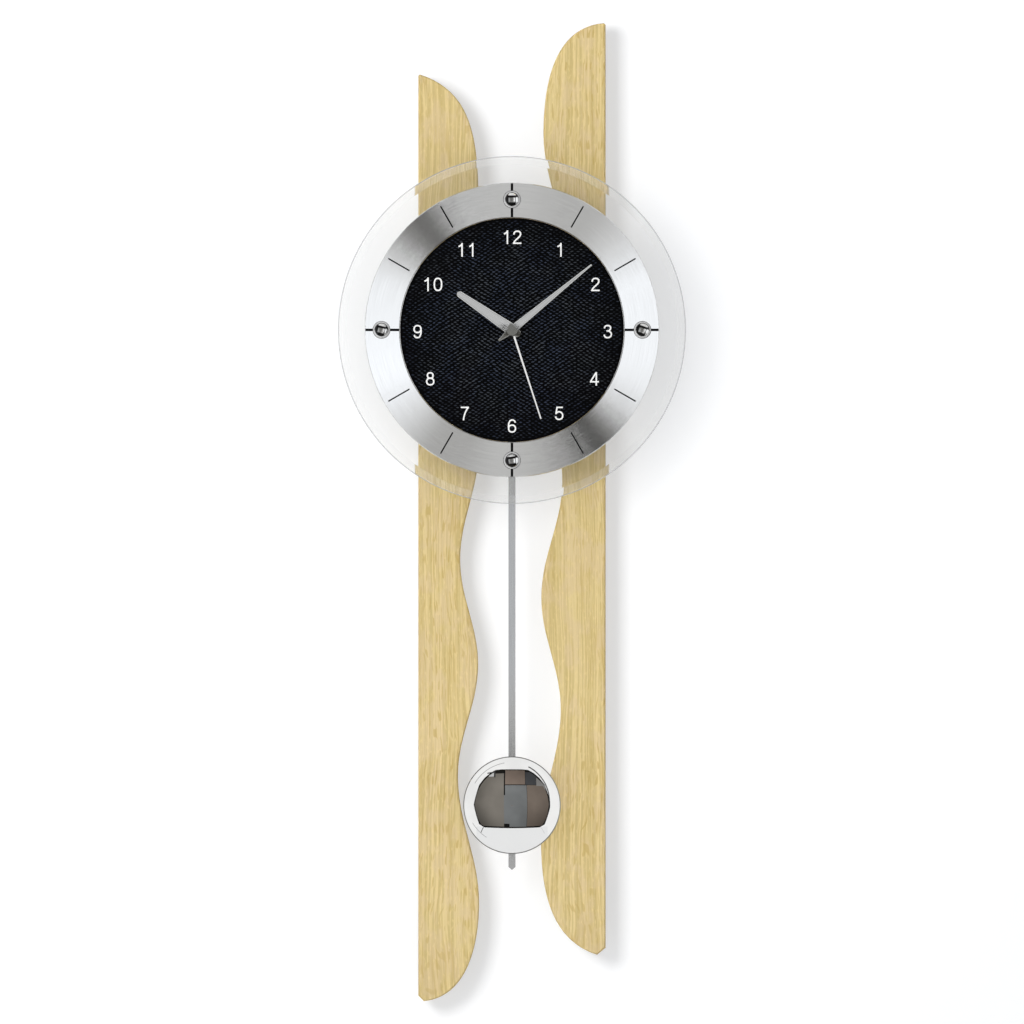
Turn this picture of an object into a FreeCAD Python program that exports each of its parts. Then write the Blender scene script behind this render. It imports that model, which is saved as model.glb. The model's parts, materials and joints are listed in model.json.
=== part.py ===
"""Pendulum wall clock: two wave-cut boards carry a bevelled glass disc with a round dial, and a quartz
movement behind the glass drives three hands and a pendulum.

Everything is drawn in a front view: x to the right, y up from the dial axis, z out of the wall towards
the viewer, in millimetres. save() turns each shape into the part's own frame: +X right, +Y into the
wall, +Z up, with the origin at the keyhole, on the wall plane."""

import math
import os

import FreeCAD
import Part

V = FreeCAD.Vector
OUT_OF_WALL = V(0, 0, 1)

# ---------------------------------------------------------------- driving dimensions
# Boards. A wave is a list of turning points (x, y), top to bottom, where the edge runs straight down.
board_outer_x = 67.0
board_t = 12.0
board_corner = 2.0
board_edge_break = 1.0
sweep_steps = 8
wave_handle = 0.37  # share of a wave's height that its curve handles take
left_top, left_top_handle, left_top_run = (-66.0, 183.2), (43.0, -13.5), 52.0
left_wave = [(-23.9, 74.8), (-37.4, -5.7), (-23.9, -85.5), (-37.1, -163.9), (-24.2, -238.8),
             (-38.7, -318.6), (-23.5, -409.9)]
left_bottom, left_bottom_handle, left_bottom_run = (-63.1, -479.7), (31.0, 2.6), 29.5
right_top, right_top_handle, right_top_run = (65.6, 219.9), (-35.0, -2.8), 36.5
right_wave = [(22.5, 141.1), (35.3, 60.6), (21.7, -21.4), (36.0, -107.6), (21.0, -191.0),
              (34.9, -270.9), (20.7, -362.1)]
right_bottom, right_bottom_handle, right_bottom_run = (60.9, -446.6), (-36.0, 11.5), 33.5

# Rails behind the boards, their screws, and the hanger plate let into the upper one.
rail_t = 12.0
rail_h = 26.0
rail_y = 70.0
rail_short = 7.0  # how far a rail ends inside the boards' outer edges
frame_screw_x, frame_screw_y = 52.0, 74.0
frame_screw_r, frame_screw_head_r, frame_screw_bite = 2.0, 4.0, 8.0
wood_screw_x, wood_screw_y = 44.0, 63.0
wood_screw_r, wood_screw_head_r, wood_screw_bite = 1.75, 3.4, 8.0
cross_share, cross_slot, cross_deep = 0.62, 0.14, 0.35  # of the head's radius
head_sunk = 0.3
screw_gap = 0.08
hanger_w, hanger_h, hanger_t = 46.0, 18.0, 1.5
hanger_screw_x, hanger_screw_r, hanger_screw_head_r, hanger_screw_l = 17.0, 1.25, 2.4, 9.0
keyhole_r, keyhole_slot_r, keyhole_rise = 4.5, 2.25, 6.5
keyhole_room, keyhole_room_depth = 1.5, 7.0
bumper_r, bumper_in, bumper_up = 9.0, 19.0, 42.0

# Glass, its standoffs, and the dial on it.
standoff_r, standoff_hole_r = 7.0, 2.06
pad_t, pad_r = 1.0, 6.5
glass_r, glass_t = 124.0, 4.0
bevel_w, bevel_drop = 6.0, 1.5
glass_arris = 0.3
glass_bore_r = 4.6
dial_t, dial_gap, dial_bore_r = 1.0, 0.2, 4.2
ring_in_r, ring_out_r, ring_t, ring_chamfer = 80.0, 105.0, 2.5, 0.5
mark_depth, fine_mark_w, bold_mark_w = 0.3, 1.0, 1.8
fine_mark_in_r, fine_mark_out_r = 84.3, 101.8
index_r, collar_r, collar_t, ball_r, ball_sunk = 93.0, 6.3, 0.9, 5.0, 2.0
stud_r, stud_hole_r, stud_glass_hole_r, stud_out = 1.2, 1.4, 2.2, 3.2
index_nut_r, index_nut_t = 3.1, 2.4

# Movement case.
movement_gap = 3.0  # between the boards' front and the case
case_left, case_right, case_top, case_bottom = -35.5, 29.5, 29.0, -74.0
case_depth, case_wall, cover_t = 22.0, 1.6, 1.6
gasket_t, gasket_r = 1.0, 15.0
battery_r, battery_l, nub_r, nub_l = 7.25, 49.5, 2.75, 1.0
battery_x, battery_y, battery_rear_gap = -6.5, -33.0, 0.35
bay_play, bay_floor_play, bay_wall = 0.75, 0.65, 1.2
spring_room, plate_room, contact_t = 2.6, 0.7, 0.4
boss_r, boss_in_wall = 3.0, 0.7
case_screw_r, case_screw_head_r, case_screw_head_t, case_screw_l = 0.9, 2.2, 1.2, 12.0
bush_r, bush_flange_r, bush_flange_t = 4.0, 6.0, 0.8
washer_r, washer_t, nut_r, nut_t = 6.6, 0.5, 5.6, 1.8
bush_past_nut = 0.4

# Wheel train: teeth, modules and the planes of the wheels, counted back from the case's inner face.
pressure_angle = math.radians(25.0)
addendum, dedendum, tooth_slack, flank_steps = 0.8, 1.2, 0.05, 3
pivot_r, pivot_gap, pivot_depth, end_play = 0.5, 0.05, 1.0, 0.1
wheel_t = 1.0
cannon_teeth, motion_teeth, motion_pinion_teeth, hour_teeth, set_teeth = 14, 42, 12, 48, 14
motion_module, hour_module = 0.375, 0.35
pinion_teeth, centre_teeth, third_teeth, second_teeth, fifth_teeth = 12, 96, 90, 72, 60
centre_module, third_module, fine_module = 0.255, 0.27, 0.25
hour_plane, motion_plane, centre_plane = 0.8, 3.2, 5.0
third_plane, second_plane, fifth_plane = 8.2, 9.6, 11.0
fifth_direction, rotor_direction = -30.0, -15.0
stud_post_r = 0.8
second_arbor_r, cannon_r, hour_pipe_r = 0.6, 1.6, 2.75
rotor_r, rotor_t, rotor_back, stator_t, stator_gap = 3.2, 3.2, 13.0, 1.0, 0.5
coil_y, coil_r, coil_core_r, coil_l = -18.5, 3.5, 1.2, 15.0
board_pcb_t, pcb_lift = 1.0, 2.4
crystal_r, crystal_l = 1.0, 6.0
knob_r, knob_t, knob_gap, knob_shaft_r, knob_grooves = 6.0, 6.5, 0.6, 1.5, 20

# Hands, drawn at twelve and then turned to the time shown.
time_shown = (10, 8, 27)
hand_gap, hour_hand_t, minute_hand_t, second_hand_t = 1.0, 0.8, 0.8, 0.5
hour_hand_l, hour_hub_w, hour_tip_w, hour_tail, hour_tail_w = 47.3, 8.8, 4.6, 7.2, 6.0
minute_hand_l, minute_hub_w, minute_tip_w, minute_tail, minute_tail_w = 73.5, 5.8, 1.4, 12.6, 1.8
second_hand_l, second_w, second_tip_w = 66.8, 1.4, 0.9
second_hub_t, hand_edge_break = 1.6, 0.3
second_hub_side = [(0, -4.8), (2.3, -2.4), (3.7, 1.2), (2.4, 3.4), (0, 4.0)]  # tail to needle

# Pendulum.
pendulum_y = -49.0  # height of the pivot pin
pin_r, arm_hub_r, arm_hub_l = 0.75, 3.0, 7.0
arm_t, arm_w, arm_back = 2.4, 6.0, 36.6
arm_end_y, peg_y, peg_r, peg_l, peg_lip_r, peg_lip_t = -86.5, -83.0, 1.0, 3.2, 1.45, 0.6
magnet_y, magnet_r, magnet_t = -65.0, 4.0, 3.0
drive_coil_r, drive_coil_bore_r, drive_gap = 7.2, 3.0, 1.0
swing_degrees, slot_margin_degrees = 6.5, 0.7
rod_w, rod_t, rod_behind_arm, rod_tip_y, rod_point = 5.0, 0.8, 1.0, -385.6, 2.2
bob_y, bob_r, bob_rise, bob_rim, bob_wall = -339.2, 34.7, 8.5, 1.4, 0.8
clip_w, clip_h, clip_wall, clip_front = 9.0, 16.0, 0.6, 0.8
slide_gap = 0.05

# ---------------------------------------------------------------- places worked out from them
board_back = rail_t
board_front = board_back + board_t
case_rear = board_front + movement_gap
case_front = case_rear + case_depth
inner_rear = case_rear + cover_t
inner_front = case_front - case_wall
glass_back = case_front + gasket_t
glass_front = glass_back + glass_t
dial_front = glass_front + dial_t
ring_front = glass_front + ring_t
nut_back = dial_front + washer_t
bush_front = nut_back + nut_t + bush_past_nut
hour_z = bush_front + hand_gap
minute_z = hour_z + hour_hand_t + hand_gap
second_z = minute_z + minute_hand_t + hand_gap
hour_pipe_front = hour_z + hour_hand_t + hand_gap / 3
cannon_front = minute_z + minute_hand_t + hand_gap / 3

hour_turn = (time_shown[0] % 12) * 30 + time_shown[1] / 2 + time_shown[2] / 120
minute_turn = time_shown[1] * 6 + time_shown[2] / 10
second_turn = time_shown[2] * 6

motion_at = V(-(cannon_teeth + motion_teeth) * motion_module / 2, 0, 0)
set_at = motion_at - V((set_teeth + motion_teeth) * motion_module / 2, 0, 0)
third_at = V(0, (pinion_teeth + third_teeth) * third_module / 2, 0)


def polar(radius, degrees):
    """A point that far from the origin, at an angle counted from +x towards +y."""
    return V(radius * math.cos(math.radians(degrees)), radius * math.sin(math.radians(degrees)), 0)


fifth_at = polar((pinion_teeth + second_teeth) * fine_module / 2, fifth_direction)
rotor_at = fifth_at + polar((pinion_teeth + fifth_teeth) * fine_module / 2, rotor_direction)

corners = [(sx, sy) for sy in (1, -1) for sx in (-1, 1)]
screw_inset = case_wall + boss_r - boss_in_wall
case_screw_at = [V(x, y, 0) for y in (case_top - screw_inset, case_bottom + screw_inset)
                 for x in (case_left + screw_inset, case_right - screw_inset)]

battery_mid_z = case_rear + battery_rear_gap + battery_r
bay_x0 = battery_x - battery_l / 2 - spring_room
bay_x1 = battery_x + battery_l / 2 + nub_l + plate_room
bay_y0 = battery_y - battery_r - bay_play
bay_y1 = battery_y + battery_r + bay_play
bay_floor = battery_mid_z + battery_r + bay_floor_play

os.makedirs("parts", exist_ok=True)


# ---------------------------------------------------------------- drawing helpers
def box(x0, x1, y0, y1, z0, z1):
    return Part.makeBox(x1 - x0, y1 - y0, z1 - z0, V(x0, y0, z0))


def disc(at, r, z0, z1):
    return Part.makeCylinder(r, z1 - z0, V(at.x, at.y, z0), OUT_OF_WALL)


def tube(at, r_out, r_in, z0, z1):
    return disc(at, r_out, z0, z1).cut(disc(at, r_in, z0, z1))


def cone(at, r0, r1, z0, z1):
    return Part.makeCone(r0, r1, z1 - z0, V(at.x, at.y, z0), OUT_OF_WALL)


def prism(points, z0, z1):
    """A straight-sided solid over a closed polygon of (x, y) points."""
    loop = [V(x, y, z0) for x, y in points]
    return Part.Face(Part.makePolygon(loop + loop[:1])).extrude(V(0, 0, z1 - z0))


def turned(profile, at=V(0, 0, 0)):
    """A solid of revolution about the axis through at. The profile is (radius, z) points."""
    loop = [V(r, 0, z) for r, z in profile]
    solid = Part.Face(Part.makePolygon(loop + loop[:1])).revolve(V(0, 0, 0), OUT_OF_WALL, 360)
    solid.translate(at)
    return solid


def clockwise(shape, degrees, at=V(0, 0, 0)):
    """The shape turned clockwise, as seen by the viewer."""
    turned_shape = shape.copy()
    turned_shape.rotate(at, OUT_OF_WALL, -degrees)
    return turned_shape


def join(*shapes):
    return shapes[0].fuse(list(shapes[1:])).removeSplitter()


def cut(shape, *tools):
    return shape.cut(list(tools))


def save(name, *shapes):
    """Writes one node, as a group of separate solids if there are several, in the part's own frame."""
    group = shapes[0] if len(shapes) == 1 else Part.makeCompound(list(shapes))
    placed = group.copy()
    placed.rotate(V(0, 0, 0), V(1, 0, 0), 90)
    placed.translate(V(0, 0, -rail_y))
    assert placed.isValid(), name
    placed.exportStep(os.path.join("parts", name + ".step"))


def countersunk(at, r, head_r, z_back, z_tip, grow=0.0):
    """A countersunk screw driven in from the wall's side, or the hole for it if it is grown."""
    head = cone(at, head_r + grow, r + grow, z_back, z_back + head_r - r)
    shank = disc(at, r + grow, z_back, z_tip + grow)
    screw = join(head, shank)
    return screw if grow else screw.cut(cross(at, head_r, z_back))


def cross(at, head_r, z_back):
    """The cross recess in a screw's head."""
    long, wide, deep = cross_share * head_r, cross_slot * head_r, cross_deep * head_r
    return join(box(at.x - long, at.x + long, at.y - wide, at.y + wide, z_back, z_back + deep),
                box(at.x - wide, at.x + wide, at.y - long, at.y + long, z_back, z_back + deep))


def hexagon(at, r, z0, z1):
    return prism([(at.x + r * math.cos(math.radians(60 * i)), at.y + r * math.sin(math.radians(60 * i)))
                  for i in range(6)], z0, z1)


# ---------------------------------------------------------------- toothed wheels
def involute(t):
    return math.tan(t) - t


def wheel(at, teeth, module, z0, z1, phase=0.0):
    """A spur wheel with flat-faced involute teeth. phase is the angle of one tooth's middle, in radians."""
    pitch_r = teeth * module / 2
    base_r = pitch_r * math.cos(pressure_angle)
    tip_r = pitch_r + addendum * module
    root_r = pitch_r - dedendum * module
    half = (math.pi * module / 2 - tooth_slack) / 2 / pitch_r
    start_r = max(base_r, root_r)
    flank = []
    for i in range(flank_steps + 1):
        r = start_r + (tip_r - start_r) * i / flank_steps
        flank.append((r, half + involute(pressure_angle) - involute(math.acos(min(1.0, base_r / r)))))
    if root_r < base_r:
        flank.insert(0, (root_r, flank[0][1]))
    points = []
    for k in range(teeth):
        middle = phase + 2 * math.pi * k / teeth
        side = [(r, -a) for r, a in flank] + [(r, a) for r, a in reversed(flank)]
        points += [(at.x + r * math.cos(middle + a), at.y + r * math.sin(middle + a)) for r, a in side]
    return prism(points, z0, z1)


def meshed_phase(a_at, a_teeth, a_phase, b_at, b_teeth):
    """The phase of wheel b that puts its gap on wheel a's tooth along the line of centres."""
    line = math.atan2(b_at.y - a_at.y, b_at.x - a_at.x)
    share = (line - a_phase) / (2 * math.pi / a_teeth)
    return line + math.pi - (2 * math.pi / b_teeth) * (0.5 - share)


def plane(back_from_front, thick=wheel_t):
    """The z span of a wheel whose front face lies that far behind the case's inner face."""
    z1 = inner_front - back_from_front
    return z1 - thick, z1


def arbor(at, r=pivot_r):
    """A plain axle that turns in blind holes in the case and its cover."""
    return disc(at, r, inner_rear - pivot_depth + end_play, inner_front + pivot_depth - end_play)


def front_bearing(at, r=pivot_r):
    return disc(at, r + pivot_gap, inner_front, inner_front + pivot_depth)


def rear_bearing(at, r=pivot_r):
    return disc(at, r + pivot_gap, inner_rear - pivot_depth, inner_rear)


# ---------------------------------------------------------------- boards, rails and hanger
def sweep(p0, p1, p2, p3):
    """Points along a cubic curve with those four poles, without its end."""
    points = []
    for i in range(sweep_steps):
        t = i / sweep_steps
        shares = ((1 - t) ** 3, 3 * t * (1 - t) ** 2, 3 * t * t * (1 - t), t ** 3)
        points.append(V(sum(s * p[0] for s, p in zip(shares, (p0, p1, p2, p3))),
                        sum(s * p[1] for s, p in zip(shares, (p0, p1, p2, p3))), board_back))
    return points


def board(top, top_handle, top_run, wave, bottom, bottom_handle, bottom_run, side):
    """A board: one straight outer edge, a waving inner edge, and a sweep to a tip at each end."""
    first, last = wave[0], wave[-1]
    points = sweep(top, (top[0] + top_handle[0], top[1] + top_handle[1]), (first[0], first[1] + top_run),
                   first)
    for (x0, y0), (x1, y1) in zip(wave, wave[1:]):
        run = (y0 - y1) * wave_handle
        points += sweep((x0, y0), (x0, y0 - run), (x1, y1 + run), (x1, y1))
    points += sweep(last, (last[0], last[1] - bottom_run),
                    (bottom[0] + bottom_handle[0], bottom[1] + bottom_handle[1]), bottom)
    points.append(V(bottom[0], bottom[1], board_back))
    inner_edge = Part.BSplineCurve()
    inner_edge.interpolate(points)
    outer_x = side * board_outer_x
    corner_low = V(outer_x, bottom[1] + board_corner + abs(outer_x - bottom[0]) / 2, board_back)
    corner_high = V(outer_x, top[1] - board_corner / 2, board_back)
    edges = [inner_edge.toShape(), Part.makeLine(points[-1], corner_low),
             Part.makeLine(corner_low, corner_high),
             Part.makeLine(corner_high, points[0])]
    solid = Part.Face(Part.Wire(edges)).extrude(V(0, 0, board_t))
    front = [e for e in solid.Edges if e.BoundBox.ZMin > board_front - 1e-6]
    return solid.makeChamfer(board_edge_break, front)


def screw_points(x, y, side):
    return [V(side * x, y, 0), V(side * x, -y, 0)]


def frame_screw(at, grow=0.0):
    return countersunk(at, frame_screw_r, frame_screw_head_r, head_sunk, board_front + frame_screw_bite, grow)


def wood_screw(at, grow=0.0):
    return countersunk(at, wood_screw_r, wood_screw_head_r, head_sunk, rail_t + wood_screw_bite, grow)


def sink(at, head_r):
    """The mouth over a sunk screw head."""
    return disc(at, head_r + screw_gap, 0, head_sunk)


def boards():
    for name, side, shape in (
        ("left_board", -1, board(left_top, left_top_handle, left_top_run, left_wave,
                                 left_bottom, left_bottom_handle, left_bottom_run, -1)),
        ("right_board", 1, board(right_top, right_top_handle, right_top_run, right_wave,
                                 right_bottom, right_bottom_handle, right_bottom_run, 1)),
    ):
        holes = [frame_screw(p, screw_gap) for p in screw_points(frame_screw_x, frame_screw_y, side)]
        holes += [wood_screw(p, screw_gap) for p in screw_points(wood_screw_x, wood_screw_y, side)]
        save(name, cut(shape, *holes))
    for name, side, low_y in (("wall_bumper_left", -1, left_bottom[1]),
                              ("wall_bumper_right", 1, right_bottom[1])):
        at = V(side * (board_outer_x - bumper_in), low_y + bumper_up, 0)
        save(name, turned([(0, 0), (bumper_r - 1, 0), (bumper_r, 1), (bumper_r, board_back),
                           (0, board_back)], at))


def keyhole(grow, z0, z1):
    """The outline of the keyhole: a round entry with a narrower slot rising from it."""
    entry = disc(V(0, rail_y, 0), keyhole_r + grow, z0, z1)
    slot = box(-keyhole_slot_r - grow, keyhole_slot_r + grow, rail_y, rail_y + keyhole_rise, z0, z1)
    end = disc(V(0, rail_y + keyhole_rise, 0), keyhole_slot_r + grow, z0, z1)
    return join(entry, slot, end)


def rails():
    half = board_outer_x - rail_short
    hanger_at = [V(sx * hanger_screw_x, rail_y, 0) for sx in (-1, 1)]
    hanger_low = rail_y - hanger_h / 2 + keyhole_rise / 2
    hanger_screw = [countersunk(p, hanger_screw_r, hanger_screw_head_r, 0, hanger_screw_l) for p in hanger_at]
    hanger_hole = [countersunk(p, hanger_screw_r, hanger_screw_head_r, 0, hanger_screw_l, screw_gap)
                   for p in hanger_at]
    for name, sign in (("upper_rail", 1), ("lower_rail", -1)):
        rail = box(-half, half, sign * rail_y - rail_h / 2, sign * rail_y + rail_h / 2, 0, rail_t)
        tools = []
        for side in (-1, 1):
            for at, hole, head_r in ((V(side * frame_screw_x, sign * frame_screw_y, 0), frame_screw,
                                      frame_screw_head_r),
                                     (V(side * wood_screw_x, sign * wood_screw_y, 0), wood_screw,
                                      wood_screw_head_r)):
                tools += [hole(at, screw_gap), sink(at, head_r)]
        if sign > 0:
            tools.append(box(-hanger_w / 2, hanger_w / 2, hanger_low, hanger_low + hanger_h, 0, hanger_t))
            tools.append(keyhole(keyhole_room, 0, hanger_t + keyhole_room_depth))
            tools += hanger_hole
        save(name, cut(rail, *tools))
    plate = box(-hanger_w / 2 + screw_gap, hanger_w / 2 - screw_gap, hanger_low + screw_gap,
                hanger_low + hanger_h - screw_gap, 0, hanger_t)
    save("hanger_plate", cut(plate, keyhole(0, 0, hanger_t), *hanger_hole))
    save("hanger_screws", *hanger_screw)
    save("frame_screws", *[frame_screw(V(sx * frame_screw_x, sy * frame_screw_y, 0)) for sx, sy in corners])
    save("rail_screws", *[wood_screw(V(sx * wood_screw_x, sy * wood_screw_y, 0)) for sx, sy in corners])


# ---------------------------------------------------------------- glass and dial
def standoffs():
    names = ("upper_left", "upper_right", "lower_left", "lower_right")
    for name, (sx, sy) in zip(names, corners):
        at = V(sx * frame_screw_x, sy * frame_screw_y, 0)
        post = disc(at, standoff_r, board_front, glass_back - pad_t)
        hole = disc(at, standoff_hole_r, board_front, board_front + frame_screw_bite + 1)
        save("standoff_" + name, cut(post, hole))
    save("bonding_pads", *[disc(V(sx * frame_screw_x, sy * frame_screw_y, 0), pad_r, glass_back - pad_t,
                                glass_back)
                           for sx, sy in corners])


def index_points():
    return [polar(index_r, a) for a in (90, 0, -90, 180)]


def glass():
    shape = turned([(0, glass_back), (glass_r - glass_arris, glass_back), (glass_r, glass_back + glass_arris),
                    (glass_r, glass_front - bevel_drop), (glass_r - bevel_w, glass_front), (0, glass_front)])
    holes = [disc(p, stud_glass_hole_r, glass_back, glass_front) for p in index_points()]
    save("glass_disc", cut(shape, disc(V(0, 0, 0), glass_bore_r, glass_back, glass_front), *holes))


def mark(hour, grow=0.0):
    """One hour mark: a bold bar across the whole ring at the quarters, a fine one between them."""
    if hour % 3:
        half, r0, r1 = fine_mark_w / 2, fine_mark_in_r, fine_mark_out_r
    else:
        half, r0, r1 = bold_mark_w / 2, ring_in_r + ring_chamfer, ring_out_r - ring_chamfer
    bar = box(-half - grow, half + grow, r0 - grow, r1 + grow, ring_front - mark_depth, ring_front)
    if hour % 3 == 0:
        bar = bar.cut(disc(V(0, index_r, 0), collar_r - 1, ring_front - mark_depth, ring_front))
    return clockwise(bar, hour * 30)


def dial():
    save("dial_plate", tube(V(0, 0, 0), ring_in_r - dial_gap, dial_bore_r, glass_front, dial_front))
    c = ring_chamfer
    ring = turned([(ring_in_r, glass_front), (ring_out_r, glass_front), (ring_out_r, ring_front - c),
                   (ring_out_r - c, ring_front), (ring_in_r + c, ring_front), (ring_in_r, ring_front - c)])
    holes = [disc(p, stud_hole_r, glass_front, ring_front) for p in index_points()]
    save("dial_ring", cut(ring, *holes, *[mark(h) for h in range(12)]))
    bars = [solid for h in range(12) for solid in mark(h).Solids]
    save("hour_marks", *bars)


def index_balls():
    """Four chrome balls, each on a collar, clamp the ring to the glass with a stud and a nut."""
    collars, nuts = [], []
    ball_z = ring_front + collar_t + ball_r - ball_sunk
    for hour, at in zip((12, 3, 6, 9), index_points()):
        c = collar_t / 3
        profile = [(stud_hole_r, 0), (collar_r, 0), (collar_r, collar_t - c), (collar_r - c, collar_t),
                   (stud_hole_r, collar_t)]
        collars.append(turned([(r, ring_front + z) for r, z in profile], at))
        ball = Part.makeSphere(ball_r, V(at.x, at.y, ball_z))
        ball = ball.cut(box(at.x - 9, at.x + 9, at.y - 9, at.y + 9, ball_z - 2 * ball_r,
                            ring_front + collar_t))
        stud = disc(at, stud_r, glass_back - stud_out, ball_z)
        save(f"index_ball_{hour}", join(ball, stud))
        nut = hexagon(at, index_nut_r, glass_back - index_nut_t, glass_back)
        nuts.append(nut.cut(disc(at, stud_r + slide_gap, glass_back - index_nut_t, glass_back)))
    save("index_collars", *collars)
    save("index_nuts", *nuts)


# ---------------------------------------------------------------- movement case
def movement_case():
    z0, z1 = inner_rear, case_front
    x0, x1 = case_left + case_wall, case_right - case_wall
    body = box(case_left, case_right, case_bottom, case_top, z0, z1)
    train_room = box(x0, x1, bay_y1 + bay_wall, case_top - case_wall, z0, inner_front)
    swing_room = box(x0, x1, case_bottom + case_wall, bay_y0 - bay_wall, z0, inner_front)
    bay = box(bay_x0, bay_x1, bay_y0, bay_y1, z0, bay_floor)
    slot_degrees = swing_degrees + slot_margin_degrees
    slot_half = arm_w / 2 + abs(case_bottom - pendulum_y) * math.tan(math.radians(slot_degrees))
    slot = box(-slot_half, slot_half, case_bottom, case_bottom + case_wall, z0, arm_back + arm_t + 1)
    body = cut(body, train_room, swing_room, bay, slot)
    bosses = [disc(p, boss_r, z0, inner_front) for p in case_screw_at]
    post = disc(motion_at, stud_post_r, plane(motion_plane)[0] - end_play, inner_front)
    body = join(body, *bosses, post)
    holes = [disc(p, case_screw_r + slide_gap, z0, z0 + case_screw_l) for p in case_screw_at]
    holes += [front_bearing(third_at), front_bearing(rotor_at), front_bearing(set_at),
              front_bearing(V(0, pendulum_y, 0), pin_r)]
    holes += [disc(V(0, 0, 0), bush_r + slide_gap, inner_front, case_front),
              disc(V(0, 0, 0), bush_flange_r + slide_gap, inner_front, inner_front + bush_flange_t)]
    save("movement_case", cut(body, *holes))

    cover = box(case_left, case_right, case_bottom, case_top, case_rear, inner_rear)
    posts = [disc(p, 1.5, inner_rear, stator_back()) for p in stator_feet()]
    posts += [disc(p, 1.5, inner_rear, inner_rear + pcb_lift) for p in pcb_feet()]
    posts.append(disc(fifth_at, stud_post_r, inner_rear, plane(second_plane)[1] + end_play))
    cover = join(cover, *posts)
    holes = [box(bay_x0, bay_x1, bay_y0, bay_y1, case_rear, inner_rear),
             disc(set_at, knob_shaft_r + slide_gap, case_rear, inner_rear),
             rear_bearing(V(0, 0, 0), second_arbor_r), rear_bearing(third_at), rear_bearing(rotor_at),
             rear_bearing(V(0, pendulum_y, 0), pin_r)]
    holes += [disc(p, case_screw_r + slide_gap, case_rear, inner_rear) for p in case_screw_at]
    save("movement_cover", cut(cover, *holes))
    head_back = case_rear - case_screw_head_t
    save("case_screws", *[join(disc(p, case_screw_head_r, head_back, case_rear),
                               disc(p, case_screw_r, case_rear, inner_rear + case_screw_l - 1)
                               ).cut(cross(p, case_screw_head_r, head_back)) for p in case_screw_at])


def case_fixings():
    axis = V(0, 0, 0)
    bore = hour_pipe_r + slide_gap
    bush = join(disc(axis, bush_flange_r, inner_front, inner_front + bush_flange_t),
                disc(axis, bush_r, inner_front, bush_front))
    save("threaded_bush", cut(bush, disc(axis, bore, inner_front, bush_front)))
    save("movement_gasket", tube(axis, gasket_r, bush_r + 2 * slide_gap, case_front, glass_back))
    save("dial_washer", tube(axis, washer_r, bush_r + 2 * slide_gap, dial_front, nut_back))
    nut = tube(axis, nut_r, bush_r + slide_gap, nut_back, nut_back + nut_t)
    spanner_slots = [clockwise(box(nut_r - 0.8, nut_r + 1, -0.9, 0.9, nut_back + 0.6, nut_back + nut_t), a)
                     for a in (0, 90, 180, 270)]
    save("dial_nut", cut(nut, *spanner_slots))


def power():
    """The cell in its bay, with its two contacts."""
    end = battery_x - battery_l / 2
    body = Part.makeCylinder(battery_r, battery_l, V(end, battery_y, battery_mid_z), V(1, 0, 0))
    nub = Part.makeCylinder(nub_r, nub_l, V(end + battery_l, battery_y, battery_mid_z), V(1, 0, 0))
    save("battery", join(body, nub))
    z0, z1 = inner_rear + 1, bay_floor
    plate = box(bay_x0, bay_x0 + contact_t, bay_y0 + 1, bay_y1 - 1, z0, z1)
    coil = Part.makeCone(battery_r - 2, battery_r - 4, spring_room - contact_t - 2 * slide_gap,
                         V(bay_x0 + contact_t, battery_y, battery_mid_z), V(1, 0, 0))
    hollow = Part.makeCone(battery_r - 2.6, battery_r - 4.6, spring_room - contact_t - 2 * slide_gap,
                           V(bay_x0 + contact_t, battery_y, battery_mid_z), V(1, 0, 0))
    save("negative_contact", join(plate, coil.cut(hollow)))
    save("positive_contact", box(bay_x1 - contact_t, bay_x1, bay_y0 + 1, bay_y1 - 1, z0, z1))


# ---------------------------------------------------------------- motor and circuit
def stator_back():
    return inner_front - rotor_back - rotor_t / 2 - stator_t / 2


def stator_legs():
    return rotor_at.x - 14.5, rotor_at.x + 6.5


def stator_feet():
    left, right = stator_legs()
    return [V(left + 1.5, coil_y + 5.5, 0), V(right + 1.5, coil_y + 5.5, 0)]


def pcb_feet():
    return [V(case_left + 8, coil_y + 2, 0), V(-6, coil_y + 2, 0)]


def motor():
    z0 = stator_back()
    z1 = z0 + stator_t
    left, right = stator_legs()
    yoke = box(rotor_at.x - 5.5, rotor_at.x + 5.5, rotor_at.y - 5, rotor_at.y + 5, z0, z1)
    bridge = box(left, right + 3, rotor_at.y - 4, rotor_at.y - 1.2, z0, z1)
    legs = [box(x, x + 3, coil_y - 1.5, rotor_at.y - 1.2, z0, z1) for x in (left, right)]
    core = Part.makeCylinder(coil_core_r, right - left, V(left + 1.5, coil_y, z0 + stator_t / 2), V(1, 0, 0))
    body = join(yoke, bridge, *legs, core)
    save("stator", cut(body, disc(rotor_at, rotor_r + stator_gap, z0, z1)))
    start = V((left + right + 3 - coil_l) / 2, coil_y, z0 + stator_t / 2)
    flanges = [Part.makeCylinder(coil_r + 0.6, 0.8, start + V(dx, 0, 0), V(1, 0, 0))
               for dx in (0, coil_l - 0.8)]
    winding = Part.makeCylinder(coil_r, coil_l, start, V(1, 0, 0))
    bore = Part.makeCylinder(coil_core_r + slide_gap, coil_l, start, V(1, 0, 0))
    save("motor_coil", join(winding, *flanges).cut(bore))


def circuit():
    z0 = inner_rear + pcb_lift
    z1 = z0 + board_pcb_t
    board_shape = box(case_left + 5, -3.5, coil_y - 4, coil_y + 7.5, z0, z1)
    chip = disc(V(case_left + 15, coil_y + 2, 0), 3, z1, z1 + 1.2)
    save("circuit_board", board_shape, chip)
    save("quartz_crystal", Part.makeCylinder(crystal_r, crystal_l, V(-14, coil_y + 2, z1 + crystal_r),
                                             V(1, 0, 0)))


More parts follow.
